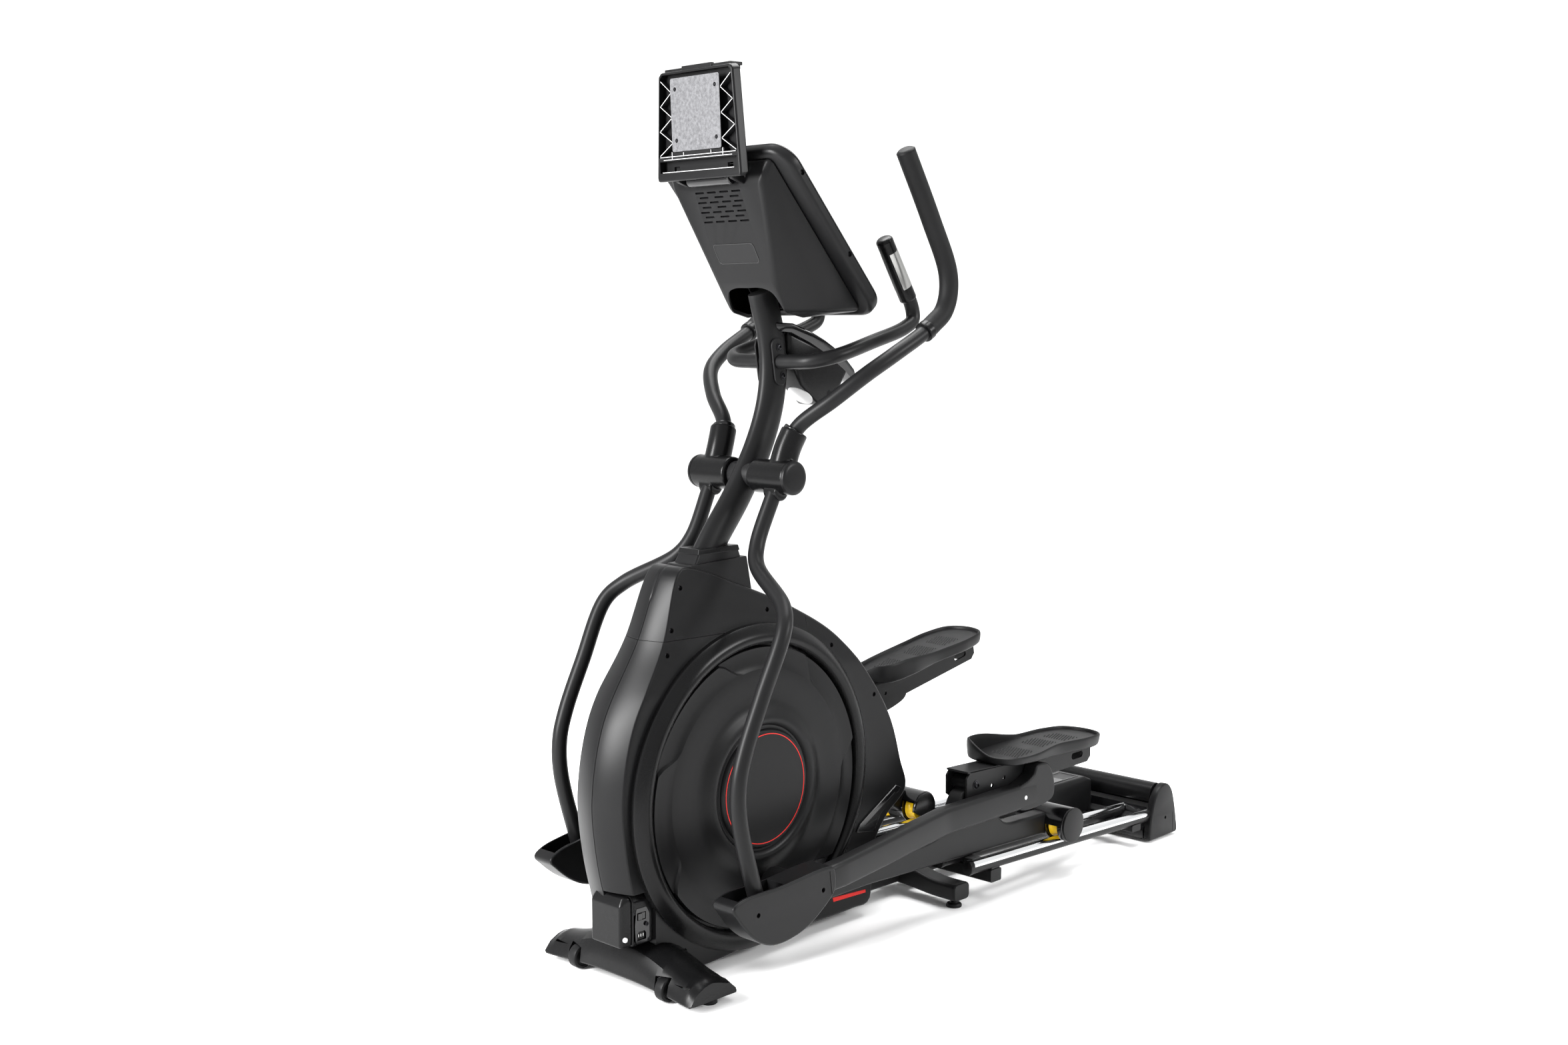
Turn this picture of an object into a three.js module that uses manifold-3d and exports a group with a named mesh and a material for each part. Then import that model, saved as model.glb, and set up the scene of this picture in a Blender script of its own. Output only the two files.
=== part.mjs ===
// Elliptical trainer with a front crank, rear guide rails and moving handlebars.
// Millimetres. +Z is up and the floor is Z = 0. The console end points to -X and the rails to +X.
// The user stands facing -X, so the left side of the machine is at -Y.
// Pieces are drawn in machine coordinates, whose X runs from the front feet, and MACHINE_SHIFT
// then moves the whole group so that its footprint is centred on the origin.

import * as THREE from "three";
import { ConvexGeometry } from "three/addons/geometries/ConvexGeometry.js";
import { mergeVertices } from "three/addons/utils/BufferGeometryUtils.js";
import Module from "manifold-3d";

const wasm = await Module();
wasm.setup();

// ---- driving dimensions ----------------------------------------------------------------------
const MACHINE_SHIFT = -853.7; // footprint centre to the origin
const GAP = 0.3; // air left between pieces that are fastened together
const CLEAR = 0.5; // air beside every turning or sliding pair

// foot linkage, in the side plane
const SWING_PIVOT = { x: 370, z: 1020 };
const SWING_LENGTH = 885; // handlebar pivot to the pin inside the shoe
const CRANK = { x: 328, z: 368 };
const CRANK_RADIUS = 210;
const CRANK_REST = (-86 * Math.PI) / 180; // left crank pin just behind its lowest point
const PEDAL_ARM = 912; // crank pin to roller axle
const HUB_BACK = 335; // pedal pivot, forward of the roller axle along the pedal arm
const HUB_RISE = 145; // pedal pivot above the pedal arm's line
const FOOT_LINK = 790; // shoe pin to pedal pivot
const RAIL_TILT = (2 * Math.PI) / 180; // the rails fall toward the rear
const AXLE = { x: 1242, z: 126 }; // a point on the line the roller axles travel
const PEDAL_PITCH = (-7.5 * Math.PI) / 180; // pedal bracket against the line of the foot link
const SOLE_PITCH = (-3 * Math.PI) / 180; // pedal sole against its bracket
const SOLE_REST = { x: 450, z: 12.4 }; // underside of the pedal near its heel, in the bracket axes

// stations across the machine, as distances from the centre plane
const HOUSING_HALF = 80;
const POCKET_FLOOR = 66; // floor of the round pocket behind each disc
const ARM_CENTRE = 168; // pedal arm, pedal pivot and pedal
const SHOE_CENTRE = 270; // lower swing arm and shoe
const RAIL_INNER = 125;
const RAIL_OUTER = 209;

// sizes used in more than one place
const DISC_RADIUS = 298;
const RAIL_RADIUS = 12;
const GROOVE_RADIUS = 26;
const TUBE_RADIUS = 16.5;
const GRIP_RADIUS = 20.5;
const BEAM_TOP = 88;
const FLYWHEEL = { x: 645, z: 318, radius: 122 };
const PULLEY_RADIUS = 155;
const DRIVEN_RADIUS = 21;

// ---- solids from three.js geometry -----------------------------------------------------------
function solid(geometry) {
  const loose = geometry.index ? geometry.toNonIndexed() : geometry;
  const bare = new THREE.BufferGeometry();
  bare.setAttribute("position", loose.getAttribute("position"));
  const merged = mergeVertices(bare, 1e-3);
  const mesh = new wasm.Mesh({
    numProp: 3,
    vertProperties: merged.attributes.position.array,
    triVerts: new Uint32Array(merged.index.array),
  });
  return new wasm.Manifold(mesh);
}

function geometryOf(body) {
  const mesh = body.getMesh();
  const positions = new Float32Array(mesh.numVert * 3);
  for (let i = 0; i < mesh.numVert; i++) {
    const at = i * mesh.numProp;
    positions.set(mesh.vertProperties.subarray(at, at + 3), i * 3);
  }
  const geometry = new THREE.BufferGeometry();
  geometry.setAttribute("position", new THREE.BufferAttribute(positions, 3));
  geometry.setIndex(new THREE.BufferAttribute(mesh.triVerts, 1));
  const flat = geometry.toNonIndexed();
  flat.computeVertexNormals();
  return flat;
}

function union(...bodies) {
  return bodies.reduce((all, body) => all.add(body));
}

function cut(body, ...tools) {
  return tools.reduce((left, tool) => left.subtract(tool), body);
}

function box(x0, x1, y0, y1, z0, z1) {
  const geometry = new THREE.BoxGeometry(x1 - x0, y1 - y0, z1 - z0);
  geometry.translate((x0 + x1) / 2, (y0 + y1) / 2, (z0 + z1) / 2);
  return solid(geometry);
}

// A round bar along Y between two stations; the far radius may differ.
function barY(x, z, radius, y0, y1, sides = 24, radius1 = radius) {
  const low = Math.min(y0, y1);
  const high = Math.max(y0, y1);
  const atHigh = y1 > y0 ? radius1 : radius;
  const atLow = y1 > y0 ? radius : radius1;
  const geometry = new THREE.CylinderGeometry(atHigh, atLow, high - low, sides);
  geometry.translate(x, (low + high) / 2, z);
  return solid(geometry);
}

function barZ(x, y, radius, z0, z1, sides = 20, radius1 = radius) {
  const geometry = new THREE.CylinderGeometry(radius1, radius, z1 - z0, sides);
  geometry.rotateX(Math.PI / 2);
  geometry.translate(x, y, (z0 + z1) / 2);
  return solid(geometry);
}

// A plate drawn in the side plane and given thickness along Y, with optional rounded edges.
function plate(points, y0, y1, rounding = null) {
  const shape = new THREE.Shape(points.map(([x, z]) => new THREE.Vector2(x, z)));
  const across = rounding ? rounding.across : 0;
  const geometry = new THREE.ExtrudeGeometry(shape, {
    depth: y1 - y0 - 2 * across,
    bevelEnabled: Boolean(rounding),
    bevelThickness: across,
    bevelSize: rounding ? rounding.inset : 0,
    bevelOffset: rounding ? -rounding.inset : 0,
    bevelSegments: rounding ? rounding.steps : 1,
  });
  geometry.rotateX(Math.PI / 2);
  geometry.translate(0, y1 - across, 0);
  return solid(geometry);
}

// A smooth closed outline through a few control points.
function outline(points, count) {
  const curve = new THREE.CatmullRomCurve3(
    points.map(([x, z]) => new THREE.Vector3(x, 0, z)),
    true,
    "centripetal",
  );
  return curve.getSpacedPoints(count).slice(0, count).map((p) => [p.x, p.z]);
}

function hull(points) {
  return solid(new ConvexGeometry(points.map(([x, y, z]) => new THREE.Vector3(x, y, z))));
}

// A round or oval bar swept through a chain of points.
function pipe(points, radius, steps, sides = 12, depthRadius = radius) {
  const path = new THREE.CatmullRomCurve3(
    points.map(([x, y, z]) => new THREE.Vector3(x, y, z)),
    false,
    "centripetal",
  );
  const ring = [];
  for (let i = 0; i < sides; i++) {
    const turn = (2 * Math.PI * i) / sides;
    ring.push(new THREE.Vector2(radius * Math.cos(turn), depthRadius * Math.sin(turn)));
  }
  return solid(
    new THREE.ExtrudeGeometry(new THREE.Shape(ring), {
      steps,
      bevelEnabled: false,
      extrudePath: path,
    }),
  );
}

// A turned piece about an axis along Y: [radius, y] pairs that start and end on the axis.
function turned(x, z, profile, sides) {
  const points = profile.map(([radius, y]) => new THREE.Vector2(radius, y));
  const geometry = new THREE.LatheGeometry(points, sides);
  geometry.translate(x, 0, z);
  return solid(geometry);
}

// A rounded side view of a straight lug: two ends with their own radii.
function lug(x0, z0, r0, x1, z1, r1, steps = 8) {
  const along = Math.atan2(z1 - z0, x1 - x0);
  const lean = Math.acos((r0 - r1) / Math.hypot(x1 - x0, z1 - z0));
  const points = [];
  for (let i = 0; i <= steps; i++) {
    const turn = along - lean + (2 * lean * i) / steps;
    points.push([x1 + r1 * Math.cos(turn), z1 + r1 * Math.sin(turn)]);
  }
  for (let i = 0; i <= steps; i++) {
    const turn = along + lean + ((2 * Math.PI - 2 * lean) * i) / steps;
    points.push([x0 + r0 * Math.cos(turn), z0 + r0 * Math.sin(turn)]);
  }
  return points;
}

// ---- the foot linkage ------------------------------------------------------------------------
// Angles are counter-clockwise in the X-Z plane seen with +X to the right.
function linkage(crankAngle) {
  const pin = {
    x: CRANK.x + CRANK_RADIUS * Math.cos(crankAngle),
    z: CRANK.z + CRANK_RADIUS * Math.sin(crankAngle),
  };
  const run = { x: Math.cos(RAIL_TILT), z: -Math.sin(RAIL_TILT) };
  const from = { x: AXLE.x - pin.x, z: AXLE.z - pin.z };
  const b = from.x * run.x + from.z * run.z;
  const c = from.x * from.x + from.z * from.z - PEDAL_ARM * PEDAL_ARM;
  const travel = -b + Math.sqrt(b * b - c);
  const axle = { x: AXLE.x + travel * run.x, z: AXLE.z + travel * run.z };
  const armAngle = Math.atan2(axle.z - pin.z, axle.x - pin.x);
  const hub = turnedPoint(axle, armAngle, -HUB_BACK, HUB_RISE);
  const dx = hub.x - SWING_PIVOT.x;
  const dz = hub.z - SWING_PIVOT.z;
  const span = Math.hypot(dx, dz);
  const along = (SWING_LENGTH ** 2 - FOOT_LINK ** 2 + span ** 2) / (2 * span);
  const aside = Math.sqrt(SWING_LENGTH ** 2 - along ** 2);
  const shoe = {
    x: SWING_PIVOT.x + (dx * along + dz * aside) / span,
    z: SWING_PIVOT.z + (dz * along - dx * aside) / span,
  };
  return {
    axle,
    armAngle,
    shoe,
    swingAngle: Math.atan2(shoe.x - SWING_PIVOT.x, SWING_PIVOT.z - shoe.z),
    linkAngle: Math.atan2(hub.z - shoe.z, hub.x - shoe.x),
  };
}

function turnedPoint(origin, angle, x, z) {
  return {
    x: origin.x + x * Math.cos(angle) - z * Math.sin(angle),
    z: origin.z + x * Math.sin(angle) + z * Math.cos(angle),
  };
}

const group = new THREE.Group();
group.position.x = MACHINE_SHIFT;

const FINISHES = {
  steel: { color: 0x17181a, roughness: 0.55, metalness: 0.3 },
  plastic: { color: 0x1d1e20, roughness: 0.45, metalness: 0 },
  bright: { color: 0xc9ccd0, roughness: 0.25, metalness: 1 },
  rubber: { color: 0x101112, roughness: 0.85, metalness: 0 },
  yellow: { color: 0xf0b400, roughness: 0.4, metalness: 0 },
};

// Puts a piece on the machine. A frame turns it from its own axes into the machine's.
function add(name, body, finish, frame = null) {
  const geometry = geometryOf(body);
  if (frame) {
    geometry.rotateY(-frame.angle);
    geometry.translate(frame.x, 0, frame.z);
  }
  const mesh = new THREE.Mesh(geometry, new THREE.MeshStandardMaterial(FINISHES[finish]));
  mesh.name = name;
  group.add(mesh);
}

// ---- mast --------------------------------------------------------------------------------------
const MAST_PATH = [
  [208, 0, 790],
  [272, 0, 885],
  [348, 0, 982],
  [408, 0, 1078],
  [442, 0, 1165],
  [452, 0, 1245],
  [438, 0, 1325],
  [404, 0, 1400],
  [392, 0, 1436],
];
const FIXED_BAR_SIDE = [
  [446, 0, 1257],
  [446, 60, 1257],
  [452, 112, 1259],
  [486, 148, 1270],
  [600, 152, 1300],
  [712, 146, 1330],
  [744, 142, 1348],
  [744, 140, 1372],
  [650, 140, 1512],
];
const fixedPath = [
  ...FIXED_BAR_SIDE.slice(1).reverse().map(([x, y, z]) => [x, -y, z]),
  [446, 0, 1257],
  ...FIXED_BAR_SIDE.slice(1),
];
const fixedRoom = pipe(fixedPath, 15.5 + GAP, 40, 8);
const mastRoom = pipe(MAST_PATH, 23.5, 12, 12, 35.5);
const mast = cut(
  union(
    pipe(MAST_PATH, 23, 12, 12, 35),
    barY(SWING_PIVOT.x, SWING_PIVOT.z, 27, -32, 32),
    barY(SWING_PIVOT.x, SWING_PIVOT.z, 12, -138, 138, 16),
  ),
  fixedRoom,
);
add("mast", mast, "steel");

const collarBlock = (grow) =>
  hull(
    [-1, 1].flatMap((side) => [
      [146 - grow, side * (44 + grow), 842 - grow],
      [346 + grow, side * (52 + grow), 780 - grow],
      [204 - grow, side * (33 + grow), 888 + grow],
      [324 + grow, side * (33 + grow), 886 + grow],
    ]),
  );
const collar = cut(collarBlock(0), mastRoom);
add("mast_collar", collar, "plastic");

// ---- base frame --------------------------------------------------------------------------------
const beam = box(60, 1660, -30, 30, 30, BEAM_TOP);
const frontTube = box(50, 100, -205, 205, 34, 70);
const midTube = hull(
  [-1, 1].flatMap((side) => [
    [852, side * 192, 20],
    [906, side * 192, 20],
    [852, side * 192, 58],
    [906, side * 192, 58],
    [860, side * 199, 26],
    [898, side * 199, 26],
    [860, side * 199, 52],
    [898, side * 199, 52],
    [854, side * 40, 30],
    [904, side * 40, 30],
    [858, side * 40, 74],
    [900, side * 40, 74],
  ]),
);
const rearTube = box(1664, 1712, -205, 205, 34, 84);
const rearTie = box(1640, 1670, -30, 30, 34, 84);
const rearPads = [-1, 1].flatMap((side) => [
  barZ(1688, side * 180, 18, 0, 10),
  barZ(1688, side * 180, 7, 9, 40, 10),
]);
const post = plate(
  [
    [96, 80],
    [168, 80],
    [235, 769.4],
    [178, 807.8],
  ],
  -24,
  24,
);
const gusset = plate(
  [
    [150, 86],
    [360, 86],
    [356, 368],
    [326, 396],
    [196, 430],
  ],
  -6,
  6,
);
const crankShell = barY(CRANK.x, CRANK.z, 32, -27, 27);
const spindleCheeks = [-1, 1].map((side) =>
  plate(
    lug(FLYWHEEL.x, FLYWHEEL.z, 24, FLYWHEEL.x, 100, 40),
    side * 21 - 3,
    side * 21 + 3,
  ),
);
const cheekFoot = box(606, 684, -24, 24, 84, 104);
const wheelForks = [];
for (const side of [-1, 1]) {
  for (const across of [-1, 1]) {
    const y = side * 133 + across * 16;
    wheelForks.push(plate(lug(20, 26.5, 11, 62, 50, 15, 5), y - 2.5, y + 2.5));
  }
}
const railCross = union(
  box(960, 1000, -220, 220, 46, 76),
  box(1560, 1600, -220, 220, 42, 60),
);
const mainFrame = cut(
  union(
    beam,
    frontTube,
    midTube,
    rearTube,
    rearTie,
    ...rearPads,
    post,
    gusset,
    crankShell,
    ...spindleCheeks,
    cheekFoot,
    ...wheelForks,
    railCross,
  ),
  barY(CRANK.x, CRANK.z, 20 + CLEAR, -60, 60),
  barY(FLYWHEEL.x, FLYWHEEL.z, 9 + CLEAR, -60, 60, 12),
  barY(20, 26.5, 5 + CLEAR, -160, 160, 12),
  box(590, 700, -17.5, 17.5, BEAM_TOP, 130),
);
add("main_frame", mainFrame, "steel");

for (const side of [-1, 1]) {
  const name = side < 0 ? "left" : "right";
  const wheel = cut(
    turned(
      20,
      26.5,
      [
        [0, -12],
        [21, -12],
        [25, -9],
        [25, 9],
        [21, 12],
        [0, 12],
      ],
      18,
    ),
  );
  const axleStub = barY(20, 26.5, 5, -19, 19, 12);
  const rolling = union(wheel, axleStub).translate([0, side * 133, 0]);
  add(name + "_transport_wheel", rolling, "rubber");
  const foot = (x) => union(barZ(x, side * 196, 17, 0, 9), barZ(x, side * 196, 6, 8, 33.7));
  add(name + "_front_foot", foot(75), "rubber");
}

for (const side of [-1, 1]) {
  const name = side < 0 ? "left" : "right";
  const foot = union(barZ(879, side * 176, 18, 0, 10), barZ(879, side * 176, 6, 9, 18));
  add(name + "_mid_foot", foot, "rubber");
}

// ---- front and rear floor covers ----------------------------------------------------------------
// One station of the front cover: its section across the bow at a distance from the centre.
function coverSection(y, low, high, inset) {
  return [
    [inset, y, low],
    [126 - inset, y, low],
    [inset + 3, y, high - 22],
    [122 - inset, y, high - 20],
    [inset + 34, y, high],
    [94 - inset, y, high],
  ];
}
const COVER_STATIONS = [
  [70, 24, 98, 0],
  [150, 22, 87, 0],
  [212, 14, 68, 1],
  [225, 14, 50, 6],
];
const coverHulls = [hull([...coverSection(-70, 24, 98, 0), ...coverSection(70, 24, 98, 0)])];
for (const side of [-1, 1]) {
  for (let i = 1; i < COVER_STATIONS.length; i++) {
    const [y0, ...from] = COVER_STATIONS[i - 1];
    const [y1, ...to] = COVER_STATIONS[i];
    coverHulls.push(hull([...coverSection(side * y0, ...from), ...coverSection(side * y1, ...to)]));
  }
}
const frontCover = cut(
  union(...coverHulls),
  box(10, 116, -206, 206, -10, 56),
  box(30, 106, -209, 209, 20, 72),
  box(-20, 60, -155, -111, -10, 56),
  box(-20, 60, 111, 155, -10, 56),
  box(50, 140, -30 - CLEAR, 30 + CLEAR, 0, 110),
);
add("front_cover", frontCover, "plastic");

const rearCover = cut(
  hull([
    [1628, -226, 6],
    [1628, 226, 6],
    [1764, -228, 6],
    [1764, 228, 6],
    [1640, -228, 40],
    [1640, 228, 40],
    [1758, -228, 70],
    [1758, 228, 70],
    [1668, -222, 136],
    [1668, 222, 136],
    [1720, -222, 144],
    [1720, 222, 144],
    [1676, -214, 146],
    [1676, 214, 146],
    [1710, -214, 149],
    [1710, 214, 149],
  ]),
  box(1658, 1740, -214, 214, -10, 116),
  box(1600, 1700, -31, 31, -10, 92),
);

// ---- rails -------------------------------------------------------------------------------------
function railLine(x) {
  return AXLE.z - Math.tan(RAIL_TILT) * (x - AXLE.x) - (GROOVE_RADIUS + RAIL_RADIUS + GAP) / Math.cos(RAIL_TILT);
}
function rail(y, radius, x0, x1) {
  const geometry = new THREE.CylinderGeometry(radius, radius, (x1 - x0) / Math.cos(RAIL_TILT), 16);
  geometry.rotateZ(-Math.PI / 2);
  geometry.rotateY(RAIL_TILT);
  geometry.translate((x0 + x1) / 2, y, railLine((x0 + x1) / 2));
  return solid(geometry);
}
const railRooms = [];
for (const y of [RAIL_INNER, RAIL_OUTER]) {
  railRooms.push(rail(y, RAIL_RADIUS + GAP, 1500, 1672));
  railRooms.push(rail(-y, RAIL_RADIUS + GAP, 1500, 1672));
}
add("rear_cover", cut(rearCover, ...railRooms), "plastic");
for (const side of [-1, 1]) {
  const name = side < 0 ? "left" : "right";
  const pair = [RAIL_INNER, RAIL_OUTER].flatMap((y) => [
    rail(side * y, RAIL_RADIUS, 888, 1662),
    rail(side * y, RAIL_RADIUS + 1, 886, 892),
  ]);
  const low = side < 0 ? -RAIL_OUTER - 10 : RAIL_INNER - 10;
  const tie = box(964, 996, low, low + RAIL_OUTER - RAIL_INNER + 20, 76 + GAP, 90);
  add(name + "_rails", union(...pair, tie), "bright");
}
const centreCover = cut(
  hull([
    [1290, -44, 40],
    [1290, 44, 40],
    [1310, -40, 132],
    [1310, 40, 132],
    [1330, -34, 150],
    [1330, 34, 150],
    [1600, -44, 152],
    [1600, 44, 152],
    [1627, -48, 140],
    [1627, 48, 140],
    [1627, -50, 40],
    [1627, 50, 40],
  ]),
  box(1200, 1700, -30 - GAP, 30 + GAP, 20, BEAM_TOP + GAP),
  box(1550, 1610, -60, 60, 20, 60 + GAP),
);
add("rail_centre_cover", centreCover, "plastic");

// ---- drive housing -----------------------------------------------------------------------------
const HOUSING = [
  [78, 30],
  [2, 112],
  [-30, 205],
  [-50, 300],
  [-57, 400],
  [-27, 545],
  [66, 704],
  [128, 838],
  [148, 846],
  [346, 782],
  [470, 728],
  [580, 664],
  [690, 556],
  [765, 445],
  [800, 345],
  [820, 276],
  [750, 218],
  [704, 150],
  [694, 34],
  [640, 28],
  [360, 28],
];
const HOUSING_WALL = 6;
const HOUSING_MIDDLE = { x: 340, z: 400 };
const housingOutline = outline(HOUSING, 38);
const housingInner = housingOutline.map(([x, z]) => {
  const dx = x - HOUSING_MIDDLE.x;
  const dz = z - HOUSING_MIDDLE.z;
  const keep = 1 - (HOUSING_WALL * 1.5) / Math.hypot(dx, dz);
  return [HOUSING_MIDDLE.x + dx * keep, HOUSING_MIDDLE.z + dz * keep];
});
// The cover narrows above its shoulder, toward the mast.
const SHOULDER_Z = 600;
const PEAK_Z = 850;
const PEAK_HALF = 48;
const taper = (shrink) =>
  hull(
    [-1, 1].flatMap((side) =>
      [-120, 900].flatMap((x) => [
        [x, side * (HOUSING_HALF - shrink), 0],
        [x, side * (HOUSING_HALF - shrink), SHOULDER_Z],
        [x, side * (PEAK_HALF - shrink), PEAK_Z],
      ]),
    ),
  );
const housingBlock = plate(housingOutline, -HOUSING_HALF, HOUSING_HALF, {
  across: 68,
  inset: 24,
  steps: 3,
}).intersect(taper(0));
const housingCavity = plate(housingInner, -HOUSING_HALF + 5, HOUSING_HALF - 5, {
  across: 64,
  inset: 24,
  steps: 3,
}).intersect(taper(5));
function tubeY(x, z, outer, inner, y0, y1, sides) {
  return cut(barY(x, z, outer, y0, y1, sides), barY(x, z, inner, y0 - 1, y1 + 1, sides));
}
const upperZone = cut(box(-100, 380, -130, 130, 703, 900), barY(CRANK.x, CRANK.z, 344, -140, 140, 40));
const upperZoneRoom = cut(
  box(-100, 380 + GAP, -130, 130, 703 - GAP, 900),
  barY(CRANK.x, CRANK.z, 344 - GAP, -140, 140, 40),
);
const inletRoom = union(
  box(-70, 128, -66, 40, 60, 206),
  box(-70, 46, -140, -60, 60, 206), // the socket and the switch face out here
);
const shell = cut(
  housingBlock,
  housingCavity,
  mastRoom,
  box(150, 680, -50, 50, 0, 60),
  box(-100, 900, -30 - CLEAR, 30 + CLEAR, 0, BEAM_TOP + CLEAR),
  collarBlock(GAP),
  inletRoom,
  box(-20, 140, -240, 240, 0, 99),
);
for (const side of [-1, 1]) {
  const name = side < 0 ? "left" : "right";
  const keep = side < 0 ? box(-200, 900, -200, -GAP / 2, -10, 950) : box(-200, 900, GAP / 2, 200, -10, 950);
  const pocketWall = barY(CRANK.x, CRANK.z, 309, side * (POCKET_FLOOR - 5), side * 78, 36);
  const shroud = union(
    cut(
      barY(CRANK.x, CRANK.z, 338, side * 54, side * 84, 36),
      barY(CRANK.x, CRANK.z, 332, side * 50, side * (POCKET_FLOOR - 5), 36),
    ),
    barY(CRANK.x, CRANK.z, 338, side * 83.9, side * 97, 36, 320),
  );
  const cover = cut(
    union(shell, pocketWall.intersect(housingBlock), shroud),
    barY(CRANK.x, CRANK.z, DISC_RADIUS + 5, side * POCKET_FLOOR, side * 140, 36),
    barY(CRANK.x, CRANK.z, 28, side * 50, side * 140, 20),
    upperZoneRoom,
    inletRoom,
  ).intersect(keep);
  add(name + "_side_cover", largest(cover), "plastic");
}
add("top_cover", largest(shell.intersect(upperZone)), "plastic");

function largest(body) {
  const parts = body.decompose();
  return parts.reduce((a, b) => (a.volume() > b.volume() ? a : b));
}

// ---- crankset, flywheel and belt ------------------------------------------------------------------
const BELT_LOW = 32;
const BELT_HIGH = 48;
const spokes = [];
for (let i = 0; i < 5; i++) {
  const turn = (2 * Math.PI * (i + 0.5)) / 5;
  const hole = {
    x: CRANK.x + 96 * Math.cos(turn),
    z: CRANK.z + 96 * Math.sin(turn),
  };
  spokes.push(barY(hole.x, hole.z, 36, 20, 80, 14));
}
const pulley = cut(
  union(
    barY(CRANK.x, CRANK.z, PULLEY_RADIUS, BELT_LOW, BELT_HIGH, 32),
    barY(CRANK.x, CRANK.z, 42, 28, 54, 20),
  ),
  ...spokes,
);
const crankArms = [];
for (const side of [-1, 1]) {
  const turn = side < 0 ? CRANK_REST : CRANK_REST + Math.PI;
  const pin = {
    x: CRANK.x + CRANK_RADIUS * Math.cos(turn),
    z: CRANK.z + CRANK_RADIUS * Math.sin(turn),
  };
  const low = side < 0 ? -79 : 68;
  crankArms.push(plate(lug(CRANK.x, CRANK.z, 32, pin.x, pin.z, 24), low, low + 11));
  crankArms.push(barY(pin.x, pin.z, 14, side * 70, side * 107, 16));
}
const crankset = union(
  barY(CRANK.x, CRANK.z, 20, -80, 80, 20),
  pulley,
  ...crankArms,
);
add("crankset", crankset, "steel");

for (const side of [-1, 1]) {
  const name = side < 0 ? "left" : "right";
  const turn = side < 0 ? CRANK_REST : CRANK_REST + Math.PI;
  const at = (distance) => side * distance;
  const disc = cut(
    union(
      barY(CRANK.x, CRANK.z, DISC_RADIUS, at(82), at(87), 36),
      barY(CRANK.x, CRANK.z, 270, at(86.9), at(90), 32, 264),
      barY(CRANK.x, CRANK.z, 190, at(89.9), at(100), 28, 160),
      barY(CRANK.x, CRANK.z, 128, at(99.9), at(104), 24, 122),
    ),
    barY(
      CRANK.x + CRANK_RADIUS * Math.cos(turn),
      CRANK.z + CRANK_RADIUS * Math.sin(turn),
      14 + CLEAR,
      at(70),
      at(150),
      16,
    ),
  );
  add(name + "_disc", disc, "plastic");
}

const flywheel = union(
  barY(FLYWHEEL.x, FLYWHEEL.z, FLYWHEEL.radius, -13, 13, 32),
  barY(FLYWHEEL.x, FLYWHEEL.z, 22, -17, 17, 16),
  barY(FLYWHEEL.x, FLYWHEEL.z, 9, -30, 54, 12),
  barY(FLYWHEEL.x, FLYWHEEL.z, DRIVEN_RADIUS, BELT_LOW - 2, BELT_HIGH + 2, 20),
);
add("flywheel", flywheel, "bright");
const beltLoop = (extra) =>
  lug(
    CRANK.x,
    CRANK.z,
    PULLEY_RADIUS + extra,
    FLYWHEEL.x,
    FLYWHEEL.z,
    DRIVEN_RADIUS + extra,
    16,
  );
const belt = cut(
  plate(beltLoop(5), BELT_LOW + 2, BELT_HIGH - 2),
  plate(beltLoop(1.5), BELT_LOW, BELT_HIGH),
);
add("drive_belt", belt, "rubber");

// ---- foot linkage and handlebars, one side at a time ----------------------------------------------
// Points of the moving handlebar, from its pivot with the arm hanging straight down:
// [rearward, out from the centre plane, up].
const LOWER_ARM_PATH = [
  [0, 96, -14],
  [-6, 96, -44],
  [-26, 97, -146],
  [-38, 118, -190],
  [-66, 238, -268],
  [-84, 268, -312],
  [-112, 270, -450],
  [-131, 270, -560],
  [-132, 270, -620],
  [-112, 270, -690],
  [-2, 270, -874],
];
const UPPER_HANDLE_PATH = [
  [2, 98, 18],
  [8, 100, 70],
  [16, 112, 112],
  [34, 180, 176],
  [62, 232, 238],
  [110, 254, 292],
  [196, 262, 372],
  [228, 264, 414],
  [234, 265, 452],
  [218, 266, 500],
  [132, 266, 590],
  [22, 266, 692],
];
const GRIP_PATH = [
  [186, 261.4, 362],
  [206, 262.6, 385],
  [228, 264, 414],
  [234, 265, 452],
  [218, 266, 500],
  [132, 266, 590],
  [14, 266, 700],
];

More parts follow.
